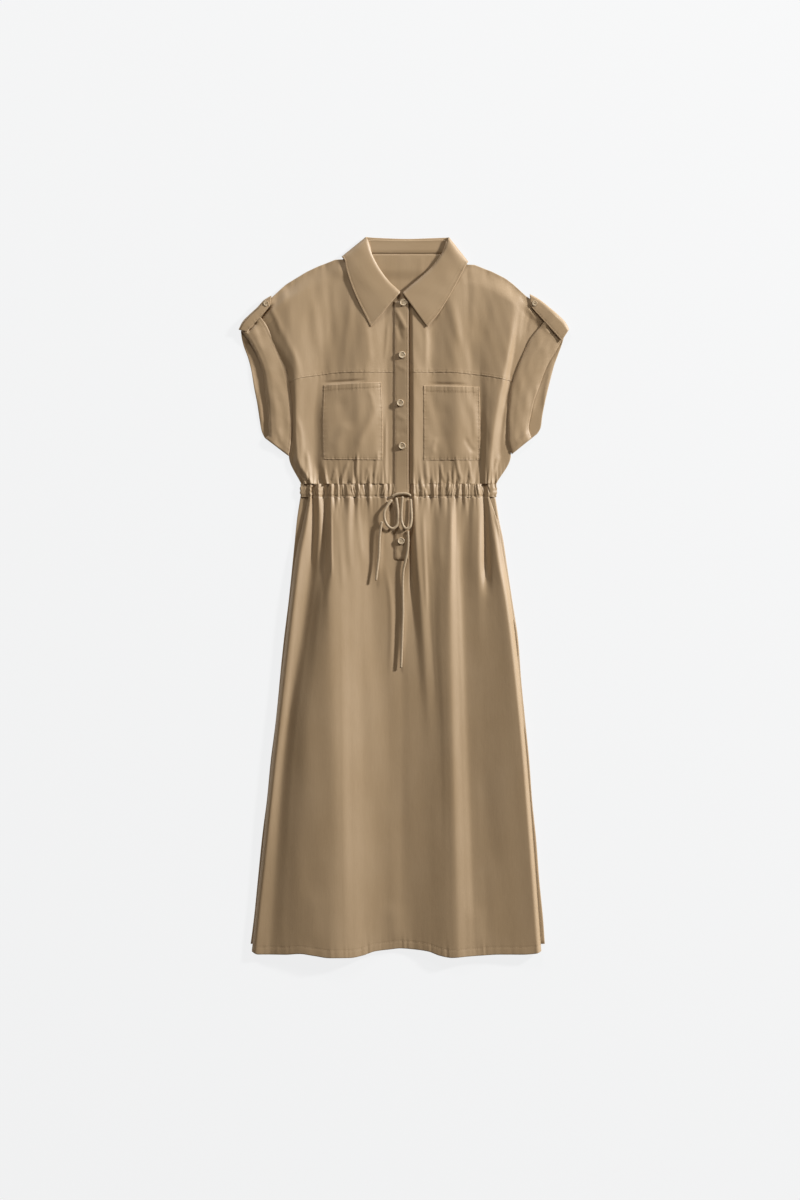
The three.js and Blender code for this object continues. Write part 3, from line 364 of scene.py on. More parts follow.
def through(places, spacing):
    """Points a spacing apart along a smooth curve through the places."""
    places = np.array(places, float)
    ends = np.vstack([2 * places[0] - places[1], places, 2 * places[-1] - places[-2]])
    knots = np.insert(np.cumsum(np.sqrt(np.linalg.norm(np.diff(ends, axis=0), axis=1))), 0, 0)
    found = []
    for i in range(1, len(ends) - 2):
        a, b, c, d = ends[i - 1 : i + 3]
        ka, kb, kc, kd = knots[i - 1 : i + 3]
        t = np.linspace(kb, kc, 24, endpoint=i == len(ends) - 3)[:, None]
        ab, cd = mix(a, b, (t - ka) / (kb - ka)), mix(c, d, (t - kc) / (kd - kc))
        bc = mix(b, c, (t - kb) / (kc - kb))
        abc, bcd = mix(ab, bc, (t - ka) / (kc - ka)), mix(bc, cd, (t - kb) / (kd - kb))
        found.append(mix(abc, bcd, (t - kb) / (kc - kb)))
    fine = np.vstack(found)
    length = np.insert(np.cumsum(np.linalg.norm(np.diff(fine, axis=0), axis=1)), 0, 0)
    even = np.linspace(0, length[-1], max(4, int(length[-1] / spacing) + 1))
    return np.stack([np.interp(even, length, fine[:, axis]) for axis in range(3)], -1)


def tie_mesh(name, path, width, thickness, around=18):
    """A soft oval tube with a seam groove along one edge and rounded, closed ends."""
    along = unit(np.gradient(path, axis=0))
    side = unit(np.cross(along, [0, 0, 1]))
    up = np.cross(side, along)
    length = np.insert(np.cumsum(np.linalg.norm(np.diff(path, axis=0), axis=1)), 0, 0)
    from_end = np.minimum(length, length[-1] - length)
    swell = np.sqrt(1 - (1 - np.clip(from_end / 1.6, 0.02, 1)) ** 2) * (1 + 0.035 * np.sin(length * 0.9))
    turn = np.linspace(0, 2 * np.pi, around, endpoint=False)
    groove = 1 - 0.16 * np.exp(-((turn - 1.15) / 0.22) ** 2)
    across, height = np.cos(turn) * groove * width / 2, np.sin(turn) * groove * thickness / 2
    ring = side[:, None] * across[None, :, None] + up[:, None] * height[None, :, None]
    points = path[:, None] + ring * swell[:, None, None]
    rows = len(path)
    index = np.arange(rows * around).reshape(rows, around)
    wrapped = np.hstack([index, index[:, :1]])
    corners = [wrapped[:-1, :-1], wrapped[:-1, 1:], wrapped[1:, 1:], wrapped[1:, :-1]]
    quads = np.stack(corners, -1).reshape(-1, 4)
    uv = np.stack(np.broadcast_arrays(turn[None] * width / 2, length[:, None]), -1).reshape(-1, 2)
    mesh = build_mesh(name, points.reshape(-1, 3), quads, uv, np.zeros(rows * around))
    sewn = bmesh.new()
    sewn.from_mesh(mesh)
    bmesh.ops.holes_fill(sewn, edges=sewn.edges)
    bmesh.ops.recalc_face_normals(sewn, faces=sewn.faces)
    sewn.to_mesh(mesh)
    sewn.free()
    return mesh


# %% Drawstring pieces
for node_name, route in CORD_ROUTES.items():
    path = through(route, 1.2) - [0, 0, CORD_SETTLED]
    mesh = tie_mesh(node_name, path, CORD_DIAMETER, CORD_THICKNESS)
    tie = add_piece(f"tie_{node_name.removeprefix('drawstring_')}", mesh, cord_cloth, "cord", node_name)
    length = float(np.linalg.norm(np.diff(path, axis=0), axis=1).sum())
    print(f"{tie.name}: {length:.0f} mm long")

# %% [markdown]
# ## Fold lines
#
# These are the fold lines of the solids. Each line runs down its panel through a place x and
# a height z at each level; gather says how strongly it is drawn in at the waist. Between two
# lines the cloth is a smooth curve that never swings past a ridge or a trough, which keeps
# the troughs narrow and the ridges soft, as on thin cloth.

# %% Sizes and fold tables
WALL = 1.2
GAP = 0.3
WAIST_TOP = 183.7
WAIST_BOTTOM = 162.4
BAND_TOP = 482.5
BAND_END = 59
BACK_HEM = -570
BACK_NECK = 561.5
TUCKED_HEIGHT = 2.1
TOP_SLOPE = 34
RUFFLE_HEIGHT = 2.4
RUFFLE_REACH = 44
BACK_Z = WALL / 2
FRONT_Z = BACK_Z + WALL + GAP
CLOTH = 0.5  # a single layer, a little thicker than the real cloth
DOUBLE_CLOTH = 1.0  # a turned or interlined layer
CASING_CLOTH = 0.75
STAND_CLOTH = 1.1
FALL_CLOTH = 1.2

FRONT_LEVELS = [556, 485.4, 419.8, 360.8, 288.6, 228, 183.7]
RIGHT_FOLDS = [  # name, x, z, gather
    ("edge", [-285, -243, -220, -196, -190, -188, -168], [2.4, 2.4, 2.3, 2.3, 2.3, 2.3, 3], 0.3),
    ("armhole dip", [-232, -223, -211, -190, -184, -183, -162], [3, 5.2, 6, 3.6, 2.1, 2.1, 4.6], 0.8),
    ("shoulder ridge", [-186, -188, -182, -176, -176, -173, -151], [6, 8.6, 10, 9.8, 7.8, 8, 6.5], 1),
    ("side trough", [-150, -144, -141, -139, -146, -146, -134], [5.5, 5.6, 4.6, 2.9, 2, 1.9, 2.2], 0),
    ("pocket side", [-134, -130, -130, -130, -133, -132, -125], [5.4, 4.7, 3.5, 2.7, 4.4, 4.8, 5.6], 1),
    ("soft line 1", [-123, -118, -118, -119, -118, -115, -111], [5.3, 4.2, 3.3, 3.6, 5.7, 6, 5], 0.9),
    ("soft line 2", [-111, -108, -107, -104, -101, -96, -98], [5.2, 4, 3.8, 4.9, 6.7, 7, 5.2], 0.7),
    ("soft line 3", [-100, -96, -93, -90, -87, -83, -84], [5.1, 4.2, 5, 6.5, 7.7, 7.7, 5.4], 1),
    ("yoke dip", [-86, -83, -79, -76, -73, -71, -70], [5, 5.2, 7, 8.2, 8.6, 8.2, 5.6], 0.9),
    ("chest ridge", [-65, -62, -64, -62, -58, -56, -50], [5, 6.6, 8.4, 8.4, 7.9, 7.4, 5.3], 0.8),
    ("pocket inner", [-49, -44, -42, -38, -35, -35, -36], [4.5, 5.6, 5.4, 4.8, 4.7, 5.2, 5.2], 0.9),
    ("band ridge", [-39, -36, -35, -31, -31, -31, -27], [4.4, 4.6, 4.2, 3.6, 3.7, 4.2, 5.2], 0.6),
    ("band dip", [-29, -28, -28, -26, -26, -25, -20], [4.3, 3.6, 3.3, 3.1, 3.2, 3.5, 4.4], 0.1),
    ("band side", [-15, -15, -15, -15, -15, -15, -15], [4.6, 4, 3.7, 3.6, 3.7, 3.9, 4.7], 0),
    ("front edge", [7, 7, 7, 7, 7, 7, 7], [4.8, 5.4, 6, 6.2, 6.1, 5.7, 4.9], 0),
]
LEFT_FOLDS = [  # name, x, z, gather
    ("underlap", [-9, -9, -9, -9, -9, -9, -9], [2.4, 2.4, 2.4, 2.4, 2.4, 2.4, 2.4], 0),
    ("band trough", [9.4, 9.4, 9.4, 9.4, 9.6, 9.6, 10.5], [2, 2, 2, 2, 2, 2, 2.2], 0),
    ("band ridge", [14.5, 14.5, 15, 16, 16, 16, 15.5], [5.2, 7, 7.8, 7.8, 7.8, 7.8, 6], 0.6),
    ("pocket inner", [32, 33, 33, 33, 33, 33, 33], [5.2, 6.4, 6.4, 5.6, 5.5, 5.4, 5.2], 0.6),
    ("soft dip", [50, 48, 48, 47, 50, 54, 51], [4.8, 4.8, 3.9, 3.7, 4.5, 4.2, 4.8], 0.9),
    ("soft line 1", [61, 63, 64, 64, 67, 70, 63], [5.1, 6, 5.6, 5.4, 5.8, 5.6, 5.2], 0.7),
    ("chest ridge", [71, 78, 84, 84, 88, 88, 77], [5, 7.8, 8.4, 7.8, 7.8, 7.4, 5.5], 1),
    ("soft line 2", [92, 97, 99, 102, 103, 104, 92], [5, 7, 6.8, 6.1, 6, 5.8, 5.2], 0.8),
    ("soft line 3", [104, 108, 110, 113, 114, 114, 108], [4.8, 5.8, 5.4, 4.4, 3.6, 3.4, 4.8], 0.9),
    ("pocket side", [115, 118, 122, 123, 125, 125, 122], [4.6, 6, 6, 4.4, 2.2, 1.9, 2.4], 1),
    ("side trough", [136, 136, 138, 138, 137, 135, 131], [4.4, 7, 7.6, 7.2, 6.8, 7, 5.6], 0),
    ("shoulder ridge", [177, 178, 172, 162, 149, 142, 138], [6.5, 9.4, 10.2, 10, 9.2, 8.4, 6.8], 0.8),
    ("armhole dip", [215, 205, 187, 175, 164, 158, 146], [3, 3.4, 3, 2.4, 2.1, 2.2, 4.6], 0.5),
    ("edge", [290, 246, 213, 187, 178, 175, 151], [2.4, 2.3, 2.3, 2.3, 2.3, 2.3, 3], 0.3),
]
SKIRT_LEVELS = [WAIST_BOTTOM, 124.6, 59, -6.6, -252.6, -592]
SKIRT_FOLDS = [  # name, x, z, gather
    ("right edge", [-156, -164, -178, -186, -214, -250], [4.2, 4.2, 4.2, 4.2, 4.2, 4.2], 0.2),
    ("right ridge", [-153, -158, -170, -179, -207, -243], [6.5, 7.6, 9, 10, 10, 8.6], 0.3),
    ("right trough", [-148, -148, -152, -160, -196, -222], [2.8, 2.5, 3.4, 5.4, 7.8, 7.6], 0),
    ("small ridge", [-139, -138, -140, -147, -178, -198], [6.5, 7.4, 7.6, 9.4, 13.8, 11.6], 0.8),
    ("waist trough", [-130, -128, -130, -134, -156, -172], [2.6, 3.6, 8, 14.6, 19, 15.4], 0),
    ("main ridge", [-119, -117, -117, -120, -118, -118], [6.2, 10.6, 15.2, 18.6, 22, 19], 0.9),
    ("slope 1", [-109, -105, -104, -104, -102, -98], [5.2, 9.6, 14, 16.8, 20.4, 17.6], 0.7),
    ("slope 2", [-91, -90, -88, -86, -85, -80], [5.8, 9.2, 12, 12.6, 15.2, 13.8], 1),
    ("slope 3", [-72, -72, -70, -67, -65, -62], [5.2, 6, 8, 7.6, 9.6, 9], 0.9),
    ("centre dip", [-54, -54, -51, -49, -44, -46], [4.8, 4.4, 5.6, 4.8, 6.3, 6], 0.8),
    ("band ridge", [-31, -31, -28, -27, -22, -26], [5.2, 6.2, 5, 4.2, 4.3, 4.3], 0.7),
    ("band side", [-15, -15, -15, -9, -5, -8], [4.8, 4.6, 4.2, 4, 4.1, 4.2], 0),
    ("front edge", [9, 9, 9, 5, 12, 10], [4.8, 5.4, 5.6, 5.2, 5.5, 5.3], 0),
    ("band trough", [12, 12, 12, 14, 30, 28], [2.3, 2.3, 2.4, 4.6, 6.9, 7.4], 0),
    ("left ridge 1", [17, 19, 23, 29, 42, 42], [6.2, 9, 11, 10.6, 8.5, 9.6], 0.8),
    ("slope 4", [35, 35, 38, 41, 52, 53], [5, 7.4, 9.2, 8.8, 10, 11.3], 0.9),
    ("left dip", [50, 49, 49, 49, 60, 63], [4.8, 6.6, 9.8, 9.6, 11.3, 12.8], 0.8),
    ("slope 5", [64, 63, 62, 62, 69, 74], [5.2, 8.4, 11.8, 12.8, 13.2, 14.2], 0.7),
    ("main ridge", [78, 77, 76, 75, 80, 88], [5.8, 11, 13.8, 14.8, 14.6, 15.6], 1),
    ("slope 6", [90, 87, 86, 88, 95, 106], [5.2, 5.8, 9, 9.6, 10.6, 12], 0.7),
    ("slope 7", [104, 99, 96, 98, 107, 119], [5.2, 5.2, 6.6, 7, 8.4, 9.4], 0.9),
    ("pocket ridge", [122, 122, 122, 124, 124, 136], [5.8, 8.6, 11.4, 10.6, 9.6, 8.8], 0.7),
    ("side trough", [132, 133.5, 134.5, 134, 142, 154], [2.4, 2.3, 3.4, 11.2, 11.8, 9.4], 0),
    ("pocket slope", [136.5, 139, 143, 150, 168, 188], [5.4, 6.8, 9.8, 14, 15.4, 11], 0.2),
    ("left ridge 2", [138, 145, 154, 166, 193, 219], [6.2, 8.8, 13, 16.8, 18.2, 12.4], 0.1),
    ("left edge", [140, 152, 164, 175, 200, 226], [6.2, 6.4, 6.6, 6.4, 5.8, 5.2], 0),
]

# %% Outlines
SHOULDER_RIGHT = [
    (-241, 464), (-219, 486.5), (-193, 510.5), (-158.7, 531.4), (-140.6, 540), (-112, 551), (-100, 551.5),
    (-84, 559), (-68.5, 550), (-50.4, 529.7), (-30.7, 511.7), (-11, 496.9), (9, 488.7),
]
SHOULDER_LEFT = [
    (-9.4, 480.5), (9.4, 492), (33.2, 511), (56.2, 531.4), (74.2, 550), (86, 558.5), (104, 543), (116, 542.5),
    (144.7, 531.4), (166, 520.7), (179, 511), (200, 491.5), (241.5, 463.5),
]
YOKE_SEAM_RIGHT = [
    (-196, 348), (-186, 352.6), (-170, 359), (-137, 364), (-104.5, 368), (-19, 369), (9, 369),
]
YOKE_SEAM_LEFT = [
    (-9.4, 369), (59.4, 369), (125, 364), (182, 353.4),
]
HEM = [
    (-252, -580.6), (-239, -587), (-195, -587), (-170, -585.5), (-145.5, -588.8), (-121, -592), (-88, -592),
    (-68.5, -588.8), (-47, -582), (-22.5, -579), (-6, -577.3), (18.4, -579), (40, -582), (59.4, -588.8),
    (79, -592), (100, -590.4), (125, -588.8), (158, -587), (190.6, -587), (215, -585.5), (228.4, -579),
    (231.6, -571),
]
BODICE_SIDES = {
    "y": [563, 465, 444.4, 423, 400, 370.6, 341, 308.3, 275.5, 244.4, 229.6, 210, 197, 184],
    "right": [
        -292, -240.7, -226, -216, -204.6, -193, -186.5,
        -183.3, -183.3, -186.5, -187.5, -180, -174, -168.5,
    ],
    "left": [297, 241, 226.7, 208.5, 197.5, 186, 176.7, 173.5, 171.8, 171.8, 176, 166, 159, 152],
}
SKIRT_SIDES = {
    "y": [162, 124.6, 91.8, 59, -6.6, -72, -138, -203, -269, -335, -400, -466, -531, -571],
    "right": [
        -169.3, -175, -178.3, -181.6, -188.2, -196.4, -203,
        -209.5, -217.7, -224.3, -232.5, -239, -245.6, -251,
    ],
    "left": [150, 156, 162.8, 167.7, 177.5, 187.4, 192.3, 198.8, 205.4, 210.3, 217, 222, 228.4, 231.2],
}
CUFF_RIGHT = {
    "frontSeam": [
        (-241, 464), (-226, 444.4), (-216, 423), (-204.6, 400), (-193, 370.6),
        (-186.5, 341), (-183.3, 308.3), (-183.3, 275.5), (-186.5, 244.4), (-189, 230),
    ],
    "frontHem": [
        (-265.5, 435), (-258.7, 425), (-249, 410), (-239, 390), (-231, 364),
        (-226.7, 334.6), (-223.4, 308), (-221.8, 282), (-221, 265.7), (-226.5, 258.5),
    ],
    "backSeam": [
        (-241, 464), (-226.4, 444.4), (-216.6, 423), (-205.2, 400), (-193.6, 370.6),
        (-187.1, 341), (-183.9, 308.3), (-183.9, 275.5), (-187.1, 244.4), (-189, 230),
    ],
    "backHem": [
        (-266.5, 434), (-265.5, 425), (-262, 410), (-255.4, 392), (-249.7, 370.6),
        (-244.8, 341), (-239.8, 315), (-235.8, 288.6), (-232.5, 270.6), (-228, 260),
    ],
}
CUFF_LEFT = {
    "frontSeam": [
        (241.5, 463.5), (226.7, 444.4), (207, 419.8), (195.6, 395), (184, 365.7),
        (176.7, 341), (174, 318), (171.8, 288.6), (171.8, 259), (177.5, 233),
    ],
    "frontHem": [
        (264, 434.5), (257.5, 417), (248, 400), (238, 384), (228.4, 362.4),
        (221, 341), (213.6, 321.4), (208, 297), (204.6, 275.5), (209, 258.5),
    ],
    "backSeam": [
        (241.5, 463.5), (227.3, 444.4), (209, 423), (198, 400), (186.6, 370.6),
        (177.3, 341), (174, 308.3), (172.4, 275.5), (172.4, 248), (177.5, 233),
    ],
    "backHem": [
        (264.5, 434), (259.5, 415), (253, 397), (246.4, 379), (241.5, 361),
        (235.8, 338), (230.8, 316.5), (226.7, 295), (224.3, 277), (219, 266.5),
    ],
}
TAB_RIGHT = {
    "fold": [(-217, 492.5), (-228, 486), (-240, 473.5), (-253, 461.5), (-264.5, 449.5), (-270.8, 437)],
    "edge": [
        (-219.7, 475), (-227.3, 466.7), (-234.8, 458.4), (-242.3, 450), (-249.9, 441.8), (-257.4, 433.5),
    ],
}
TAB_LEFT = {
    "fold": [(207, 495), (222, 486.5), (238.5, 473.5), (253, 461), (265.5, 448), (270.8, 437.5)],
    "edge": [(208, 475), (218, 463.7), (228.2, 452.4), (238.4, 441), (248.5, 429.8), (258.7, 418.5)],
}
FALL = [  # inner edge, outer edge, height of each; None is the outermost line of a side fold
    ((-6, 498), (-54.5, 441.2), 8.8, 8.2),
    ((-14, 505.5), (-63, 459), 8.7, 8.1),
    ((-23, 514), (-73, 479), 8.5, 7.8),
    ((-39, 535), (-85, 507), 8.3, 7.6),
    ((-52, 559.5), (-94, 535), 8, 7.6),
    ((-58.2, 580), (-97, 550), 7.8, 7.6),
    ((-62, 588.2), (-101.3, 556.5), None, None),
    ((-56, 587.5), (-94, 550), BACK_Z, BACK_Z),
    ((-28, 586), (-50, 544.5), BACK_Z, BACK_Z),
    ((6, 585), (3, 543), BACK_Z, BACK_Z),
    ((40, 586), (55, 543.5), BACK_Z, BACK_Z),
    ((68, 587), (98, 545), BACK_Z, BACK_Z),
    ((74.2, 587.4), (105.4, 548), None, None),
    ((71, 580), (101, 541), 7.8, 7.6),
    ((64, 564), (93, 525), 8, 7.6),
    ((48, 541), (73, 489), 8.3, 7.6),
    ((27, 521.5), (56, 462), 8.5, 7.8),
    ((11, 508), (47, 451), 8.7, 8.1),
    ((-2, 497), (38.5, 441.2), 8.8, 8.2),
]
STAND = [  # inner edge, outer edge, height of each; None is the outermost line of a side fold
    ((-7, 496), (-18, 487.5), 6.7, 6.6),
    ((-23, 511.5), (-35.7, 502), 6.3, 6),
    ((-39, 532.5), (-52, 523), 5.9, 5.6),
    ((-51, 556), (-66.8, 548), 5.8, 5.8),
    ((-56, 575), (-73.5, 562), 5.8, 5.8),
    ((-59, 582), (-77, 567), None, None),
    ((-53, 583.5), (-71, 563.5), FRONT_Z, FRONT_Z),
    ((-22, 583), (-40, 562.2), FRONT_Z, FRONT_Z),
    ((6, 582.5), (3, 562.2), FRONT_Z, FRONT_Z),
    ((36, 583), (44, 562.2), FRONT_Z, FRONT_Z),
    ((63, 583.5), (75, 563.5), FRONT_Z, FRONT_Z),
    ((69.5, 582), (84, 567), None, None),
    ((68, 575), (82, 560), 5.8, 5.8),
    ((62.5, 562), (76, 549), 5.8, 5.8),
    ((46, 539), (59, 527), 5.9, 5.6),
    ((25, 519.5), (37, 508), 6.3, 6),
    ((-2, 495.5), (7.5, 485.5), 6.7, 6.6),
]

# %% [markdown]
# ## Cloth that follows its fold lines
#
# A panel is a sheet of points between a top and a bottom line. Across it, the points run from
# fold line to fold line; down it, each fold line is a smooth curve through its levels. The
# columns are about as far apart everywhere, so narrow folds near the waist get enough points.

# %% Smooth curves
def curve_slopes(steps, values):
    """Slopes at the values that keep each stretch between them from overshooting."""
    rates = np.diff(values, axis=-1) / steps
    slopes = np.concatenate([rates[..., :1], np.zeros_like(rates[..., 1:]), rates[..., -1:]], -1)
    a, b = rates[..., :-1], rates[..., 1:]
    same_way = a * b > 0
    before, after = 2 * steps[1:] + steps[:-1], steps[1:] + 2 * steps[:-1]
    safe_a, safe_b = np.where(same_way, a, 1), np.where(same_way, b, 1)
    slopes[..., 1:-1] = np.where(same_way, (before + after) / (before / safe_a + after / safe_b), 0)
    return slopes


def between(low, high, slope_low, slope_high, step, t):
    s = 1 - t
    ends = low * s * s * (1 + 2 * t) + high * t * t * (3 - 2 * t)
    return ends + step * t * s * (s * slope_low - t * slope_high)


def smooth(xs, ys):
    xs, ys = np.array(xs, float), np.array(ys, float)
    steps = np.diff(xs)
    slopes = curve_slopes(steps, ys)

    def at(x):
        x = np.clip(x, xs[0], xs[-1])
        i = np.clip(np.searchsorted(xs, x) - 1, 0, len(steps) - 1)
        return between(ys[i], ys[i + 1], slopes[i], slopes[i + 1], steps[i], (x - xs[i]) / steps[i])

    return at


def outline(places):
    return smooth(*zip(*places))


def straight(places):
    xs, ys = zip(*places)
    return lambda x: np.interp(x, xs, ys)


# %% Folded cloth
class FoldedCloth:
    """The middle of a folded panel: u counts along its fold lines, y runs up the dress."""

    def __init__(self, levels, folds, gather_from, upwards):
        self.down = -np.array(levels, float)
        self.steps = np.diff(self.down)
        self.names, xs, zs, gathers = zip(*folds)
        self.tables = [(t, curve_slopes(self.steps, t)) for t in (np.array(xs, float), np.array(zs, float))]
        self.last = len(folds) - 1
        self.gather = smooth(range(len(folds)), gathers)
        self.gather_from, self.upwards = gather_from, upwards

    def fold(self, name):
        return self.names.index(name)

    def line(self, table, k, depth):
        values, slopes = table
        d = np.clip(depth, self.down[0], self.down[-1])
        j = np.clip(np.searchsorted(self.down, d) - 1, 0, len(self.steps) - 1)
        t = (d - self.down[j]) / self.steps[j]
        return between(values[k, j], values[k, j + 1], slopes[k, j], slopes[k, j + 1], self.steps[j], t)

    def at(self, u, y):
        """x and z of the cloth, with the gathers that run out from the waist seam."""
        u, y = np.broadcast_arrays(u, y)
        k = np.clip(np.floor(u).astype(int), 0, self.last - 1)
        t = u - k
        found = []
        for table in self.tables:
            a, b, c, d = [self.line(table, np.clip(k + i, 0, self.last), -y) for i in (-1, 0, 1, 2)]
            rate_before, rate, rate_after = b - a, c - b, d - c
            slope_low = np.where(k == 0, rate, harmonic(rate_before, rate))
            slope_high = np.where(k + 1 == self.last, rate, harmonic(rate, rate_after))
            found.append(between(b, c, slope_low, slope_high, 1, t))
        gather = self.gather(u)
        away = self.upwards * (y - self.gather_from) / (RUFFLE_REACH * (0.55 + 0.45 * gather))
        near = np.clip(1 - np.maximum(away, 0), 0, 1)
        ruffle = RUFFLE_HEIGHT * gather * near * near * (0.5 + 0.5 * np.cos(2 * np.pi * u))
        return found[0], found[1] + ruffle

    def stations(self, first, last, spacing):
        """Places along u about a spacing apart on the cloth's widest level."""
        xs = self.tables[0][0]
        found = [float(first)]
        for k in range(first, last):
            width = np.mean(xs[k + 1] - xs[k])
            count = max(3, math.ceil(width / spacing))
            found += list(k + np.arange(1, count + 1) / count)
        return np.array(found)


def harmonic(a, b):
    same_way = a * b > 0
    return np.where(same_way, 2 * a * b / np.where(same_way, a + b, 1), 0)


def graded_rows(length, near, far, reach=30):
    """Shares of a length, close together near both ends and wider in the middle."""
    places = [0.0]
    while places[-1] < length:
        from_end = min(places[-1], length - places[-1])
        places.append(places[-1] + mix(near, far, float(ease(from_end / reach))))
    return np.array(places) / places[-1]


def panel_points(cloth_lines, stations, top, bottom, rows):
    u, v = stations[None], rows[:, None]
    y = np.zeros((len(rows), len(stations)))
    for _ in range(14):
        x, _ = cloth_lines.at(u, y)
        y = mix(top(x), bottom(x), v)
    x, z = cloth_lines.at(u, y)
    return np.stack([x, y, z], -1), np.broadcast_to(u, x.shape)


right_cloth = FoldedCloth(FRONT_LEVELS, RIGHT_FOLDS, WAIST_TOP, 1)
left_cloth = FoldedCloth(FRONT_LEVELS, LEFT_FOLDS, WAIST_TOP, 1)
skirt_cloth = FoldedCloth(SKIRT_LEVELS, SKIRT_FOLDS, WAIST_BOTTOM, -1)
print("fold lines:", [c.last + 1 for c in (right_cloth, left_cloth, skirt_cloth)])

# %% [markdown]
# ## Creases, puckers and layers
#
# Between the fold lines the cloth has creases that no rule gives: the pull of a pocket, a
# crumple in an elbow of the sleeve. They are listed one by one, as ridges and troughs along
# short lines, uneven in length, height and width. Puckers are the short ripples that a seam draws
# into thin cloth: waves of several pitches with fixed random phases that die away from it.

# %% Creases and puckers
def crease_height(points, creases):
    """Sum of the creases at the points. A crease is (name, line, height, width)."""
    total = np.zeros(points.shape[:2])
    x, y = points[..., 0], points[..., 1]
    for _, line, height, width in creases:
        route = through([(*place, 0) for place in line], 4)[:, :2]
        low, high = route.min(0) - 3 * width, route.max(0) + 3 * width
        near = (x > low[0]) & (x < high[0]) & (y > low[1]) & (y < high[1])
        if not near.any():
            continue
        px, py = x[near], y[near]
        best, along = np.full(px.shape, 1e9), np.zeros(px.shape)
        for i, (a, b) in enumerate(zip(route[:-1], route[1:])):
            step = b - a
            t = np.clip(((px - a[0]) * step[0] + (py - a[1]) * step[1]) / (step @ step), 0, 1)
            distance = (px - a[0] - t * step[0]) ** 2 + (py - a[1] - t * step[1]) ** 2
            closer = distance < best
            best[closer], along[closer] = distance[closer], (i + t[closer]) / (len(route) - 1)
        taper = ease(along / 0.35) * ease((1 - along) / 0.35) + 0.25 * (1 - np.abs(2 * along - 1))
        total[near] += height * np.minimum(1, taper) * np.exp(-best / width**2)
    return total


def ripple(along, pitch, seed, wander=0.0):
    """An uneven wave between -1 and 1, of about the given pitch."""
    chance = np.random.default_rng(seed)
    waves = [
        np.sin(2 * np.pi * along / (pitch * factor) + chance.uniform(0, 6.28) + wander * factor)
        for factor in (0.62, 0.83, 1.0, 1.37, 2.1)
    ]
    return sum(waves) / 3.1


def puckers(along, distance, height, pitch, reach, seed):
    fade = np.exp(-np.maximum(distance, 0) / reach)
    return height * fade * ripple(along, pitch, seed, wander=distance / (3.5 * pitch))


def waist_ripple(across, away, reach):
    """Gathers of the drawn waist, from the casing outwards: uneven, leaning a little."""
    lean = 0.1 * away * np.sin(across / 23.0)
    fade = np.exp(-np.maximum(np.abs(away), 0) / reach)
    coarse = ripple(across + lean, 10.5, 5, wander=away / 60)
    return fade * (1.5 * coarse + 0.7 * ripple(across - lean, 5.6, 6))


def rumple(points, height, seed, across=38.0, down=150.0):
    """Slight unevenness of resting cloth, longer down the dress than across it."""
    chance = np.random.default_rng(seed)
    total = np.zeros(points.shape[:2])
    for _ in range(14):
        a, b = chance.normal(0, 1 / across), chance.normal(0, 1 / down)
        total += np.sin(2 * np.pi * (a * points[..., 0] + b * points[..., 1]) + chance.uniform(0, 6.28))
    return height * total / 4


# %% Tucked layers and seams
def distance_to_line(x, y, a, b):
    dx, dy = b[0] - a[0], b[1] - a[1]
    t = np.clip(((x - a[0]) * dx + (y - a[1]) * dy) / (dx * dx + dy * dy), 0, 1)
    return np.hypot(x - mix(a[0], b[0], t), y - mix(a[1], b[1], t))


def tucked_lift(x, y):
    """How far layers are lifted where the collar and the tabs are tucked below them."""
    collar = ease((y - 516) / 20) * ease((130 - np.abs(x - 2)) / 24)
    folds = [tab["fold"] for tab in (TAB_RIGHT, TAB_LEFT)]
    tabs = [ease((31 - distance_to_line(x, y, fold[0], fold[5])) / 13) for fold in folds]
    return TUCKED_HEIGHT * np.maximum(collar, np.maximum(*tabs))


def sink_to(points, top_line):
    """Lets the front sink towards the shoulder fold, but not at the button band."""
    x, y, z = np.moveaxis(points, -1, 0)
    depth = ease((top_line(x) - y) / TOP_SLOPE)
    beside = ease((np.abs(x + 3) - 15) / 14)
    sunk = mix(FRONT_Z, z, 1 - beside * (1 - depth)) + tucked_lift(x, y)
    return np.stack([x, y, sunk], -1)


def raised(points, height):
    out = points.copy()
    out[..., 2] += height
    return out


def from_edge(points, side):
    """Arc length from one edge of a grid to each of its points."""
    axis, last = {"top": (0, 0), "bottom": (0, -1), "start": (1, 0), "end": (1, -1)}[side]
    walked = travelled(points, axis)
    return np.abs(walked - np.take(walked, [last], axis=axis))


def seam_relief(points, side, inset, depth=0.3, pucker=0.22, pitch=7.0, seed=1):
    """The groove of a stitch line beside an edge, with the small puckers that it draws in."""
    away = from_edge(points, side)
    along = travelled(points, 1 if side in ("top", "bottom") else 0)
    groove = -depth * np.exp(-(((away - inset) / 0.7) ** 2))
    swell = 0.35 * depth * np.exp(-(((away - inset * 0.45) / (0.5 * inset)) ** 2))
    return groove + swell + puckers(along, away - inset, pucker, pitch, 3.5, seed)


stitch_lines = {}


def keep_stitches(group, points, thickness, side, inset, trim=0.0, ring=False):
    """Notes the line of a row of stitches, beside an edge and on top of the cloth."""
    surface = points + grid_normals(points, ring) * (thickness / 2 + 0.08)
    away = from_edge(points, side)
    if side in ("start", "end"):
        surface, away = surface.swapaxes(0, 1), away.T
    order = np.argsort(away[:, away.shape[1] // 2])
    line = np.stack([
        [np.interp(inset, away[order, c], surface[order, c, axis]) for axis in range(3)]
        for c in range(away.shape[1])
    ])
    length = np.insert(np.cumsum(np.linalg.norm(np.diff(line, axis=0), axis=1)), 0, 0)
    stitch_lines.setdefault(group, []).append(line[(length >= trim) & (length <= length[-1] - trim)])


# %% [markdown]
# ## Front bodice
#
# Each front is a yoke lapped and stitched over the bodice below it. The yoke's lower edge
# rests on the bodice, so it is raised by one layer there, and the bodice runs on below it.
# The creases on each side are placed where the sleeve, the pocket and the waist pull.

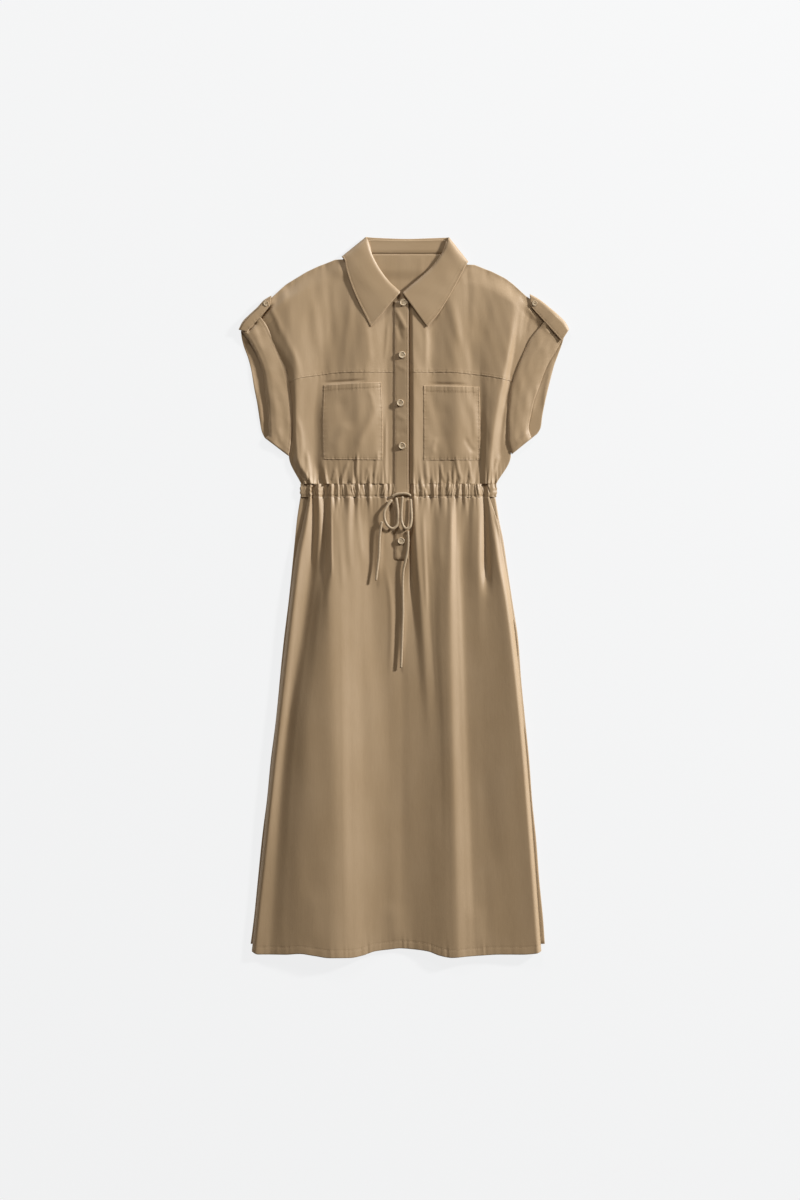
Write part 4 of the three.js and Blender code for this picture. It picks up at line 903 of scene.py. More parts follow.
# %% Bodice creases
RIGHT_CREASES = [  # name, line, height, width
    ("neck pull", [(-84, 500), (-92, 440), (-97, 385)], 0.9, 7),
    ("shoulder soft", [(-150, 500), (-143, 440), (-138, 390)], 0.8, 8),
    ("shoulder line", [(-126, 520), (-120, 450), (-121, 400)], -0.5, 6),
    ("armhole pull", [(-205, 455), (-192, 420), (-176, 385), (-168, 340)], 0.9, 5),
    ("armhole fold", [(-222, 480), (-205, 445), (-199, 420)], 1.0, 4),
    ("underarm fold", [(-176, 300), (-168, 262), (-166, 225)], 0.8, 4),
    ("waist pull", [(-159, 240), (-156, 212), (-154, 190)], 1.2, 3),
    ("collar shadow fold", [(-60, 450), (-57, 410), (-54, 375)], 0.8, 5),
    ("band pull", [(-26, 455), (-28, 420), (-31, 380)], 0.8, 3),
    ("pocket diagonal", [(-84, 222), (-68, 262), (-48, 300), (-34, 332)], 1.7, 8),
    ("pocket diagonal low", [(-122, 232), (-104, 262), (-88, 292)], 0.9, 9),
    ("pocket hollow", [(-106, 330), (-96, 300), (-92, 268)], -1.0, 11),
    ("pocket corner", [(-58, 340), (-52, 322), (-50, 302)], 0.6, 4),
    ("pocket mouth", [(-138, 349), (-112, 350.5), (-84, 352), (-58, 354)], -1.5, 2),
    ("below the tab", [(-212, 488), (-224, 479), (-238, 466), (-246, 458)], 2.4, 9),
    ("tab groove", [(-214, 480), (-221, 471), (-231, 460), (-240, 450)], -4.5, 2.2),
    ("gather 1", [(-102, 186), (-96, 205), (-90, 224)], 1.3, 2.4),
    ("gather 2", [(-78, 186), (-77, 210), (-75, 238)], 1.4, 2.4),
    ("gather 3", [(-63, 186), (-60, 200), (-58, 214)], 1.1, 2),
    ("gather 4", [(-48, 186), (-45, 212), (-42, 242)], 1.2, 2.4),
    ("gather 5", [(-31, 186), (-30, 225), (-29, 300)], 1.0, 2.6),
    ("gather 6", [(-118, 186), (-114, 200), (-111, 212)], 1.0, 2),
]
LEFT_CREASES = [
    ("neck pull", [(78, 500), (86, 450), (92, 400)], 0.9, 7),
    ("shoulder soft", [(118, 520), (112, 460), (108, 400)], 0.9, 8),
    ("shoulder trough", [(140, 510), (134, 450), (130, 400)], -0.6, 8),
    ("sleeve pull", [(196, 480), (190, 440), (184, 405)], 1.2, 4),
    ("sleeve pull low", [(208, 470), (203, 445), (199, 425)], -0.7, 3),
    ("armhole fold", [(172, 330), (165, 280), (160, 240)], 0.9, 4),
    ("waist pull", [(158, 236), (150, 212), (146, 192)], 1.3, 3),
    ("chest line", [(36, 450), (37, 400), (36, 372)], 0.7, 4),
    ("pocket hollow", [(66, 322), (62, 285), (66, 240)], -1.1, 12),
    ("pocket light", [(112, 330), (116, 290), (118, 245)], 1.0, 7),
    ("pocket low fold", [(100, 262), (108, 244), (120, 232)], -0.8, 4),
    ("pocket bottom fold", [(54, 262), (49, 246), (48, 230)], 0.7, 4),
    ("pocket mouth", [(36, 347.5), (58, 347), (82, 346.5), (110, 346)], -1.5, 2),
    ("below the tab", [(204, 486), (216, 478), (230, 465), (240, 455)], 1.0, 9),
    ("tab groove", [(205, 478), (214, 466), (224, 455), (234, 443)], -3.5, 2.2),
    ("gather 1", [(38, 186), (37, 205), (36, 228)], 1.2, 2.4),
    ("gather 2", [(66, 186), (62, 204), (60, 222)], 1.3, 2.4),
    ("gather 3", [(95, 186), (89, 208), (85, 234)], 1.4, 2.6),
    ("gather 4", [(110, 186), (108, 205), (106, 226)], 1.1, 2.2),
    ("gather 5", [(76, 186), (75, 196), (74, 206)], 0.9, 2),
]
LAP = 2.2  # how far the yoke laps over the bodice


# %% Yokes, bodices and pockets
def front_side(lines, shoulder, seam, creases, seed):
    top_line, seam_line = straight(shoulder), outline(seam)
    stations = lines.stations(0, lines.last, 1.9)
    pieces = {}
    for part, top, bottom, rows in (
        ("yoke", top_line, lambda x: seam_line(x) - LAP, graded_rows(150, 1.0, 2.8, 25)),
        (
            "bodice", lambda x: seam_line(x) + LAP, lambda x: WAIST_TOP + GAP / 2 + 0 * x,
            graded_rows(186, 1.1, 2.2, 30),
        ),
    ):
        points, u = panel_points(lines, stations, top, bottom, rows)
        points = sink_to(points, top_line)
        relief = crease_height(points, creases) + rumple(points, 0.22, seed)
        flat_band = ease((np.abs(points[..., 0] + 3) - 12) / 8)
        if part == "yoke":
            near_seam = np.exp(-((from_edge(points, "bottom") / 5) ** 2))
            relief += 0.32 * near_seam + seam_relief(points, "bottom", 2.0, seed=seed)
            relief += puckers(points[..., 0], from_edge(points, "top") - 3, 0.35, 16, 9, seed + 3)
        else:
            near_seam = ease(1 - from_edge(points, "top") / 7)
            relief -= 0.35 * near_seam
            relief += puckers(points[..., 0], from_edge(points, "top") - 5, 0.25, 9, 6, seed + 4) * flat_band
            drawn = lines.gather(u) * flat_band
            drawn_in = waist_ripple(points[..., 0], points[..., 1] - WAIST_TOP, 17)
            relief += (0.35 + 0.65 * drawn) * flat_band * drawn_in
        points = raised(points, relief)
        points[..., 2] = np.maximum(points[..., 2], FRONT_Z - 0.35)
        pieces[part] = (points, u)
    return pieces


fronts = {
    "right": front_side(right_cloth, SHOULDER_RIGHT, YOKE_SEAM_RIGHT, RIGHT_CREASES, 11),
    "left": front_side(left_cloth, SHOULDER_LEFT, YOKE_SEAM_LEFT, LEFT_CREASES, 29),
}
for side, parts in fronts.items():
    for part, (points, _) in parts.items():
        node_name = f"front_{part}_{side}"
        mesh = shell_mesh(node_name, points, CLOTH)
        piece = add_piece(f"cloth_{part}_{side}", mesh, cloth, "cloth", node_name)
        print(f"{piece.name}: {points.shape[0]} by {points.shape[1]} points")
    keep_stitches("yoke", parts["yoke"][0], CLOTH, "bottom", 2.0, trim=1)

# %% [markdown]
# ### Chest pockets
#
# A pocket is the same cloth as the front, sewn down on three sides, so it takes the points of
# the front below it, moved out by one layer. Its top edge is a turned hem that stands a little
# away from the chest, which gives the fine shadow above it.

# %% Pockets
POCKETS = {  # fold lines at the sides; top and bottom at the first and second side
    "right": ("pocket side", "pocket inner", (345.5, 350.5), (224, 223)),
    "left": ("pocket inner", "pocket side", (344.5, 342.5), (223, 223)),
}
POCKET_LIFT = 0.6
POCKET_HEM = 9.0


def pocket(side, lines, shoulder, creases, seed):
    first_name, second_name, tops, bottoms = POCKETS[side]
    first, second = lines.fold(first_name), lines.fold(second_name)
    first, second = min(first, second), max(first, second)
    stations = lines.stations(first, second, 1.25)
    xs = [lines.at(s, 290)[0] for s in (first, second)]
    top = lambda x: np.interp(x, xs, tops)
    bottom = lambda x: np.interp(x, xs, bottoms)
    points, _ = panel_points(lines, stations, top, bottom, graded_rows(122, 0.9, 1.8, 14))
    points = sink_to(points, straight(shoulder))
    relief = crease_height(points, creases) + rumple(points, 0.22, seed)
    sides = np.minimum(from_edge(points, "start"), from_edge(points, "end"))
    below = from_edge(points, "bottom")
    sewn = np.minimum(sides, below)
    from_top = from_edge(points, "top")
    relief += POCKET_LIFT + 0.8 * ease(sewn / 12) * (0.5 + 0.9 * np.exp(-from_top / 14))
    relief += 0.28 * ease((POCKET_HEM - from_top) / 0.8)
    relief += seam_relief(points, "top", POCKET_HEM, pucker=0.16, seed=seed + 1)
    relief += seam_relief(points, "bottom", 1.8, pucker=0.3, seed=seed + 2)
    for edge in ("start", "end"):
        relief += seam_relief(points, edge, 1.8, pucker=0.25, seed=seed + 3)
    return raised(points, relief)


pockets = {
    "right": pocket("right", right_cloth, SHOULDER_RIGHT, RIGHT_CREASES, 11),
    "left": pocket("left", left_cloth, SHOULDER_LEFT, LEFT_CREASES, 29),
}
for side, points in pockets.items():
    node_name = f"chest_pocket_{side}"
    add_piece(f"cloth_pocket_{side}", shell_mesh(node_name, points, CLOTH), cloth, "cloth", node_name)
    keep_stitches("pockets", points, CLOTH, "top", POCKET_HEM, trim=2)
    for edge in ("bottom", "start", "end"):
        keep_stitches("pockets", points, CLOTH, edge, 1.8, trim=1.8)
print("pocket points:", {side: points.shape[:2] for side, points in pockets.items()})

# %% [markdown]
# ## Waist casing
#
# The casing is a tube round the waist that the drawstring draws in. Laid flat it is a ring:
# a ruched front, a side fold at each end, and a back that lies on the surface. Its puckers
# are shorter and closer than the gathers beside it, and they lean both ways.

# %% Side folds
def side_fold(x, outward, upper, lower, parts=9):
    """Half circle over the edge of a fold, from the upper layer round to the lower one."""
    radius = (upper - lower) / 2
    angles = np.pi * np.linspace(0, 1, parts)
    return [(x + outward * radius * (math.sin(a) - 1), lower + radius * (1 + math.cos(a))) for a in angles]


# %% Casing
def casing_points():
    stations = skirt_cloth.stations(0, skirt_cloth.last, 1.15)
    x, z = skirt_cloth.at(stations, WAIST_BOTTOM)
    gather = skirt_cloth.gather(stations)
    right, left = SKIRT_SIDES["right"][0], SKIRT_SIDES["left"][0]
    left_fold = side_fold(left + 2, 1, 4.8, BACK_Z)
    right_fold = side_fold(right, -1, 4.6, BACK_Z)[::-1]
    back = [(place, BACK_Z) for place in np.linspace(145, -160, 150)]
    half = len(back) // 2
    near = lambda x, high, edge: [(mix(x, edge, part), high) for part in (0.25, 0.5, 0.75)]
    left_in = near(float(x[-1]), float(z[-1]), left_fold[0][0])
    right_in = near(right_fold[-1][0], float(z[0]), float(x[0]))
    flat = np.array(left_in + left_fold + back + right_fold + right_in)
    rows = np.linspace(WAIST_TOP - GAP / 2, WAIST_BOTTOM + GAP / 2, 26)
    across = np.concatenate([x, flat[:, 0]])
    level = np.concatenate([z, flat[:, 1]])
    drawn = np.concatenate([0.6 + 0.4 * gather, 0.6 * (flat[:, 1] > 3)])
    drawn_back = np.concatenate([np.zeros(len(x)), (flat[:, 1] < BACK_Z + 0.01).astype(float)])
    middle, half_height = (WAIST_TOP + WAIST_BOTTOM) / 2, (WAIST_TOP - WAIST_BOTTOM) / 2
    points = []
    out = np.sign(across) * ease((np.abs(across) - 128) / 34)
    for y in rows:
        share = (y - middle) / half_height
        bulge = 1 - share**2
        beyond = max(0.0, y - middle)
        high = drawn * (0.5 * bulge + waist_ripple(across, beyond - half_height, 17))
        swollen = 0.35 + 0.65 * bulge
        leaning = across + 0.25 * (y - middle) * np.sin(across / 17)
        high += drawn * swollen * 0.8 * ripple(leaning, 4.6, 9)
        for seam, depth in ((WAIST_BOTTOM + 1.8, 0.9), (WAIST_TOP - 1.8, 0.35)):
            uneven = depth * (0.75 + 0.5 * ripple(across, 13, 4))
            high -= drawn * uneven * math.exp(-((y - seam) ** 2))
        high += drawn_back * 0.55 * swollen * np.maximum(0, ripple(across, 9, 8, wander=0.3 * share))
        wide = across + out * (1.5 * bulge - 0.9 + 0.5 * math.sin(y * 0.9))
        points.append(np.stack([wide, np.full(across.shape, y), np.maximum(level + high, BACK_Z)], -1))
    points = np.roll(np.array(points), half + len(right_fold) + len(right_in), axis=1)
    return points


casing = casing_points()
casing_mesh = shell_mesh("waist_casing", casing, CASING_CLOTH, ring=True)
add_piece("cloth_casing", casing_mesh, cloth, "cloth", "waist_casing")
print("casing points:", casing.shape[:2])

# %% [markdown]
# ## Skirt
#
# The front skirt is wider than the waist and gathered into the casing, so narrow ripples run
# out from the seam and join into a few broad folds. Its hem is turned up and stitched. The
# back skirt lies flat below it and its side edges roll over to the front, so that the side
# seams show just inside the outline.

# %% Skirt creases
SKIRT_CREASES = [  # name, line, height, width
    ("trough edge", [(-119, 158), (-119, 90), (-117, 20)], 1.2, 2.2),
    ("waist trough 1", [(-147, 158), (-148, 100), (-152, 40)], -0.9, 3.5),
    ("waist trough 2", [(-129, 158), (-128, 90), (-128, 50)], -0.9, 3.5),
    ("right strip", [(-160, 140), (-172, 40), (-188, -120), (-207, -300)], 0.6, 4),
    ("slope line 1", [(-106, 150), (-104, 80), (-98, 0)], 0.7, 5),
    ("slope line 2", [(-92, 152), (-90, 90), (-84, 20)], 0.6, 5),
    ("slope line 3", [(-75, 150), (-72, 100), (-68, 50)], 0.7, 4),
    ("centre hollow", [(-60, 140), (-56, 90), (-53, 40)], -0.6, 6),
    ("light line", [(-32, 60), (-22, 0), (-20, -60), (-24, -140)], 1.0, 4),
    ("under the short tail", [(-37, 128), (-39, 100), (-41, 62), (-45, 22)], 1.8, 5),
    ("under the long tail", [(0, 50), (-1.5, 10), (-1.5, -40), (-3, -84), (-5, -124)], 1.8, 5),
    ("light band", [(-60, -60), (-52, -220), (-54, -400)], 0.5, 12),
    ("hem roll right", [(-150, -470), (-146, -530), (-144, -585)], 0.9, 14),
    ("hem roll middle", [(-20, -500), (-14, -545), (-10, -575)], 0.9, 16),
    ("bright line", [(31, 156), (33, 90), (36, 20), (38, -40)], 1.2, 3),
    ("bright line side", [(42, 150), (45, 90), (48, 30)], -0.5, 4),
    ("left slope line 1", [(58, 154), (58, 100), (60, 40)], 0.6, 5),
    ("pocket side line", [(146, 128), (154, 70), (164, 0)], 0.6, 4),
    ("pocket opening", [(139, 152), (148, 140), (152, 124), (160, 92), (170, 24)], 2.0, 2),
    ("side seam edge", [(170, 24), (182, -80), (192, -200), (204, -340)], 0.9, 3),
    ("left broad fold", [(128, -260), (138, -360), (150, -480)], -0.6, 12),
    ("hem roll left", [(112, -500), (118, -550), (122, -588)], 0.8, 14),
]
HEM_DEPTH = 12.0


# %% Front skirt
def front_skirt():
    hem_line = outline(HEM)
    stations = skirt_cloth.stations(0, skirt_cloth.last, 1.75)
    shares = [0.0]
    while shares[-1] < 740:
        from_hem = 740 - shares[-1]
        step = mix(1.5, 6.6, float(ease(shares[-1] / 190))) if from_hem > 24 else 1.7
        shares.append(shares[-1] + step)
    rows = np.array(shares) / shares[-1]
    points, u = panel_points(skirt_cloth, stations, lambda x: WAIST_BOTTOM - GAP / 2 + 0 * x, hem_line, rows)
    x, y = points[..., 0], points[..., 1]
    from_waist, from_hem = from_edge(points, "top"), from_edge(points, "bottom")
    drawn = skirt_cloth.gather(u)
    relief = crease_height(points, SKIRT_CREASES) + rumple(points, 0.3, 41, across=75, down=300)
    relief += (0.3 + 0.7 * drawn) * 0.8 * waist_ripple(x, from_waist, 13)
    relief += drawn * puckers(x, from_waist, 0.8, 19, 50, 43)
    relief += puckers(x, from_hem - HEM_DEPTH, 0.2, 13, 9, 44)
    relief += seam_relief(points, "bottom", HEM_DEPTH, depth=0.25, pucker=0.12, seed=45)
    relief -= 0.5 * drawn * np.exp(-from_waist / 1.6)
    points = raised(points, relief)
    points[..., 2] = np.maximum(points[..., 2], FRONT_Z - 0.1)
    return points


skirt = front_skirt()
add_piece("cloth_front_skirt", shell_mesh("front_skirt", skirt, CLOTH), cloth, "cloth", "front_skirt")
keep_stitches("hem", skirt, CLOTH, "bottom", HEM_DEPTH, trim=1)
print("front skirt points:", skirt.shape[:2])


# %% Back skirt
def spread(low, high, spacing):
    return np.linspace(low, high, max(2, round(abs(high - low) / spacing) + 1))


SEAM_LAP = 3
BELOW_SEAM = 1.9


def back_skirt():
    down = [-y for y in SKIRT_SIDES["y"]]
    right_side, left_side = smooth(down, SKIRT_SIDES["right"]), smooth(down, SKIRT_SIDES["left"])
    rows = []
    depths = np.concatenate([spread(WAIST_BOTTOM - GAP / 2, 60, 3.2)[:-1], spread(60, BACK_HEM, 7.5)])
    for y in depths:
        right, left = float(right_side(-y)), float(left_side(-y))
        (right_x, right_z), (left_x, left_z) = skirt_cloth.at(0, y), skirt_cloth.at(skirt_cloth.last, y)
        right_z, left_z = float(right_z) - BELOW_SEAM, float(left_z) - BELOW_SEAM
        over = side_fold(left, 1, left_z, BACK_Z)
        under = side_fold(right, -1, right_z, BACK_Z)[::-1]
        flat = [(mix(right, left, part), BACK_Z) for part in np.linspace(0.965, 0.035, 130)]
        left_in = [(mix(float(left_x) - SEAM_LAP * 0.7, left, part), left_z) for part in (0, 0.35, 0.7)]
        right_in = [(mix(right, float(right_x) + SEAM_LAP * 0.7, part), right_z) for part in (0.3, 0.65, 1)]
        section = left_in + over + flat + under + right_in
        rows.append([(x, y, z) for x, z in section])
    points = np.array(rows)
    on_surface = points[..., 2] < BACK_Z + 0.01
    inside = ease(np.minimum(from_edge(points, "start"), from_edge(points, "end")) / 40 - 0.4)
    from_waist = from_edge(points, "top")
    folds = puckers(points[..., 0], from_waist, 0.9, 13, 60, 51)
    folds = folds + puckers(points[..., 0], from_waist, 0.5, 34, 420, 52)
    folds += 0.35 * ripple(points[..., 0] * 0.9, 61, 53)
    return raised(points, np.where(on_surface, np.maximum(0, folds) * inside, 0))


back = back_skirt()
add_piece("cloth_back_skirt", shell_mesh("back_skirt", back, CLOTH), cloth, "cloth", "back_skirt")
keep_stitches("hem", back[:, 14:-14], CLOTH, "bottom", HEM_DEPTH)
for edge in ("start", "end"):
    keep_stitches("side_seams", back, CLOTH, edge, 4.6, trim=8)
print("back skirt points:", back.shape[:2])

# %% [markdown]
# ## Back bodice
#
# The back is one piece with the extended shoulders. It shows inside the neck opening and from
# below, where it lies flat, with shallow folds from the shoulders and gathers at the waist.

# %% Back bodice
def back_bodice():
    down = [-y for y in BODICE_SIDES["y"]]
    right_side, left_side = smooth(down, BODICE_SIDES["right"]), smooth(down, BODICE_SIDES["left"])
    neck = [(-84, BACK_NECK - 2), (86, BACK_NECK - 2)]
    top = straight([*SHOULDER_RIGHT[:7], *neck, *SHOULDER_LEFT[6:]])
    rows, columns = graded_rows(378, 1.4, 3.2, 30), np.linspace(0, 1, 170)
    y = np.zeros((len(rows), len(columns)))
    for _ in range(14):
        x = mix(right_side(-y) + 0.45, left_side(-y) - 0.45, columns[None])
        y = mix(top(x), WAIST_TOP + GAP / 2, rows[:, None])
    points = np.stack([x, y, BACK_Z + tucked_lift(x, y)], -1)
    inside = ease(np.minimum(from_edge(points, "start"), from_edge(points, "end")) / 36 - 0.3)
    from_waist, from_top = from_edge(points, "bottom"), from_edge(points, "top")
    folds = puckers(x, from_waist, 1.0, 12, 34, 61) + puckers(x, from_waist, 0.45, 30, 160, 62)
    folds += puckers(x, from_top, 0.35, 27, 120, 63)
    return raised(points, np.maximum(0, folds) * inside * ease(from_top / 8))


back_top = back_bodice()
add_piece("cloth_back_bodice", shell_mesh("back_bodice", back_top, CLOTH), cloth, "cloth", "back_bodice")
print("back bodice points:", back_top.shape[:2])

# %% [markdown]
# ## Button band
#
# The band is a folded strip down the edge of the right front, from the collar across the
# waist to the hip. It is stiffer than the cloth below, so it takes the folds only softly, and
# it has a row of stitches near each long edge.

# %% Button band
BAND_CREASES = [
    ("collar drag", [(-15, 472), (-6, 456), (6, 432)], 1.3, 4),
    ("collar drag low", [(-14, 452), (-8, 436), (-2, 414)], -0.8, 4),
    ("button pull 1", [(-12, 380), (-4, 374), (7, 371)], 0.5, 3),
    ("button pull 2", [(-13, 300), (-3, 292), (6, 290)], 0.5, 4),
    ("button pull 3", [(-12, 262), (-4, 268), (6, 268)], -0.5, 4),
    ("low drag", [(-12, 118), (-6, 106), (4, 100)], 0.6, 4),
    ("end pull", [(-10, 80), (-4, 70), (5, 66)], -0.4, 4),
]
BAND_RIGHT_EDGE = 7.2


def button_band():
    ys = spread(BAND_TOP, BAND_END, 2.6)
    across = np.linspace(0, 1, 20)
    bodice_side, skirt_side = right_cloth.fold("band side"), skirt_cloth.fold("band side")
    grid = []
    for y in ys:
        lines, first = (right_cloth, bodice_side) if y > WAIST_TOP else (skirt_cloth, skirt_side)
        x, z = lines.at(first + across, max(y, BAND_END) if y > WAIST_TOP else min(y, WAIST_BOTTOM))
        x = mix(x[0], BAND_RIGHT_EDGE, across)
        grid.append(np.stack([x, np.full(x.shape, y), z + WALL + GAP], -1))
    points = np.array(grid)
    relief = crease_height(points, BAND_CREASES) + rumple(points, 0.12, 71)
    for edge in ("start", "end"):
        relief += seam_relief(points, edge, 2.0, pucker=0.14, pitch=9, seed=72)
    relief += seam_relief(points, "bottom", 2.0, pucker=0.1, seed=73)
    on_skirt = ease((WAIST_BOTTOM - points[..., 1]) / 20)
    relief -= (0.5 + 0.6 * on_skirt) * ease(1 - from_edge(points, "start") / 3)
    relief -= 1.1 * ease(1 - from_edge(points, "bottom") / 3)
    return raised(points, relief)


band = button_band()
add_piece("cloth_button_band", shell_mesh("button_band", band, DOUBLE_CLOTH), cloth, "cloth", "button_band")
for edge in ("start", "end"):
    keep_stitches("band", band, DOUBLE_CLOTH, edge, 2.0, trim=3)
keep_stitches("band", band, DOUBLE_CLOTH, "bottom", 2.0, trim=2)
print("band points:", band.shape[:2])

# %% [markdown]
# ## Sleeve cuffs and shoulder tabs
#
# The short sleeves are turned up into wide cuffs. Laid flat, each is a ring: a front wall, a
# fold at the shoulder and under the arm, and a back wall that reaches a little further out, so
# that the inside shows as a darker strip beyond the front hem. A tab runs over the shoulder
# fold and holds the cuff with one button.

# %% Cuffs
CUFF_SHARES = [0, 0.06, 0.33, 0.67, 0.88, 0.96, 1]
CUFF_HEIGHTS = {"right": [4.1, 4.3, 5.0, 6.0, 5.6, 4.4, 3.2], "left": [4.1, 5.3, 6.0, 5.4, 4.6, 3.9, 3.2]}
CUFF_CREASES = {
    "right": [
        ("tab groove", [(-238, 452), (-246, 444), (-253, 436), (-258, 431)], -4.5, 2.2),
        ("shoulder fold", [(-247, 446), (-238, 420), (-228, 392)], 0.8, 5),
        ("long soft", [(-228, 400), (-214, 340), (-208, 280)], 0.7, 8),
        ("inner soft", [(-200, 330), (-196, 290), (-198, 250)], -0.5, 6),
        ("underarm", [(-208, 278), (-203, 262), (-200, 246)], 0.9, 4),
        ("back crumple 1", [(-254, 385), (-246, 350), (-240, 322)], 1.2, 3),
        ("back crumple 2", [(-238, 330), (-234, 300), (-231, 276)], 1.0, 3),
    ],
    "left": [
        ("tab groove", [(232, 446), (240, 437), (249, 427), (256, 419)], -3.5, 2.2),
        ("shoulder fold", [(244, 430), (234, 412), (222, 395)], 0.8, 5),
        ("long soft", [(222, 380), (205, 330), (196, 280)], 0.8, 8),
        ("hem fold", [(222, 352), (214, 322), (208, 292)], 1.2, 3),
        ("underarm fold", [(204, 272), (194, 258), (184, 246)], 1.4, 4),
        ("underarm crumple", [(208, 262), (198, 248), (186, 238)], 1.0, 2.5),
        ("back crumple 1", [(240, 372), (232, 335), (228, 300)], 1.3, 3),
        ("back crumple 2", [(246, 392), (240, 372), (236, 352)], 0.9, 3),
    ],
}


def sleeve_cuff(side, edges):
    steps = range(len(edges["frontSeam"]))

    def line(places):
        x, y = [smooth(steps, values) for values in zip(*places)]
        return lambda t: np.array([float(x(t)), float(y(t))])

    names = ("frontSeam", "frontHem", "backSeam", "backHem")
    front_in, front_out, back_in, back_out = [line(edges[name]) for name in names]
    last, turn = len(steps) - 1, 0.14
    near_turn = [0, 0.01, 0.035, 0.07, turn]
    along = list(np.linspace(0.2, last - 0.2, 74))
    shares = np.concatenate([[0, 0.02, 0.05], np.linspace(0.09, 0.91, 20), [0.95, 0.98, 1]])
    grid = []
    for share in shares:
        high = float(np.interp(share, CUFF_SHARES, CUFF_HEIGHTS[side]))
        middle, swell = (high + BACK_Z) / 2, (high - BACK_Z) / 2
        rounded = lambda t, way: middle + way * swell * math.sqrt(max(0, 1 - (1 - t / turn) ** 2))
        row = [(mix(front_in(t), front_out(t), share), rounded(t, 1)) for t in near_turn]
        row += [(mix(front_in(t), front_out(t), share), high) for t in along]
        row += [(mix(front_in(last - t), front_out(last - t), share), rounded(t, 1)) for t in near_turn[::-1]]
        row += [(mix(back_in(last - t), back_out(last - t), share), rounded(t, -1)) for t in near_turn[1:]]
        row += [(mix(back_in(t), back_out(t), share), BACK_Z) for t in along[::-1]]
        row += [(mix(back_in(t), back_out(t), share), rounded(t, -1)) for t in near_turn[::-1][:-1]]
        grid.append([(*place, z) for place, z in row])
    points = np.array(grid)
    points[..., 2] += tucked_lift(points[..., 0], points[..., 1])
    front = points[..., 2] > 3
    on_surface = points[..., 2] < BACK_Z + 0.02
    creases = crease_height(points, CUFF_CREASES[side])
    relief = np.where(front, 0.8 * creases, np.where(on_surface, np.maximum(0, 0.9 * creases), 0))
    relief += np.where(front, rumple(points, 0.28, 81 + len(side), across=30, down=60), 0)
    for edge, inset in (("top", 3.0), ("bottom", 3.0)):
        away = from_edge(points, edge)
        relief -= np.where(front, 0.3 * np.exp(-(((away - inset) / 0.8) ** 2)), 0)
        around = travelled(points, 1)
        relief += np.where(front, puckers(around, np.abs(away - inset), 0.22, 8, 3, 83), 0)
    return raised(points, relief)


cuffs = {"right": sleeve_cuff("right", CUFF_RIGHT), "left": sleeve_cuff("left", CUFF_LEFT)}
for side, points in cuffs.items():
    node_name = f"sleeve_cuff_{side}"
    mesh = shell_mesh(node_name, points, DOUBLE_CLOTH, ring=True)
    add_piece(f"cloth_cuff_{side}", mesh, cloth, "cloth", node_name)
    for edge in ("top", "bottom"):
        keep_stitches("cuffs", points[:, 4:80], DOUBLE_CLOTH, edge, 3.0, trim=2)


# %% Shoulder tabs
TAB_TUCKED = 12
TAB_HEIGHTS = {"right": [8.5, 8.65, 8.8, 9.0, 8.95, 8.4], "left": [6.2, 6.4, 7.4, 8.9, 8.9, 8.4]}


def shoulder_tab(side, edges):
    steps = range(len(edges["fold"]))
    fold = [smooth(steps, values) for values in zip(*edges["fold"])]
    free = [smooth(steps, values) for values in zip(*edges["edge"])]
    height = smooth(steps, TAB_HEIGHTS[side])
    grid = []
    for t in np.linspace(0, len(steps) - 1, 60):
        a, b = np.array([f(t) for f in fold]), np.array([f(t) for f in free])
        width, top = float(np.hypot(*(b - a))), float(height(t))
        at = lambda distance, z: (*mix(a, b, distance / width), z)
        crown = 0.25 * math.sin(math.pi * t / (len(steps) - 1))
        shares = np.linspace(1, 0.2, 20)
        flat = [at(width * s, top - 0.5 * s**3 + crown * (1 - s)) for s in shares]
        turned = [at(x + WALL / 2, z) for x, z in side_fold(0, -1, top, BACK_Z, 11)]
        grid.append(flat + turned + [at(d, BACK_Z) for d in (TAB_TUCKED * 0.5, TAB_TUCKED)])
    points = np.array(grid)
    relief = np.where(points[..., 2] > 3, rumple(points, 0.1, 91), 0)
    relief += np.where(points[..., 2] > 3, seam_relief(points, "start", 2.2, pucker=0.1, seed=92), 0)
    return raised(points, relief)


tabs = {"right": shoulder_tab("right", TAB_RIGHT), "left": shoulder_tab("left", TAB_LEFT)}
for side, points in tabs.items():
    node_name = f"shoulder_tab_{side}"
    add_piece(f"cloth_tab_{side}", shell_mesh(node_name, points, DOUBLE_CLOTH), cloth, "cloth", node_name)
    keep_stitches("tabs", points, DOUBLE_CLOTH, "start", 2.2, trim=2)
    for edge in ("top", "bottom"):
        keep_stitches("tabs", points[:, :22], DOUBLE_CLOTH, edge, 2.2, trim=2)
print("cuffs and tabs:", [c.shape[:2] for c in cuffs.values()], [t.shape[:2] for t in tabs.values()])

# %% [markdown]
# ## Collar
#
# A stand is sewn round the neck and a fall turns over it. In front the fall lies on the yokes
# as two pointed leaves that meet above the top button; at the sides of the neck it turns and
# runs on behind. It is interlined, so it is thicker, smooth and crisp, with a row of stitches
# just inside every edge.

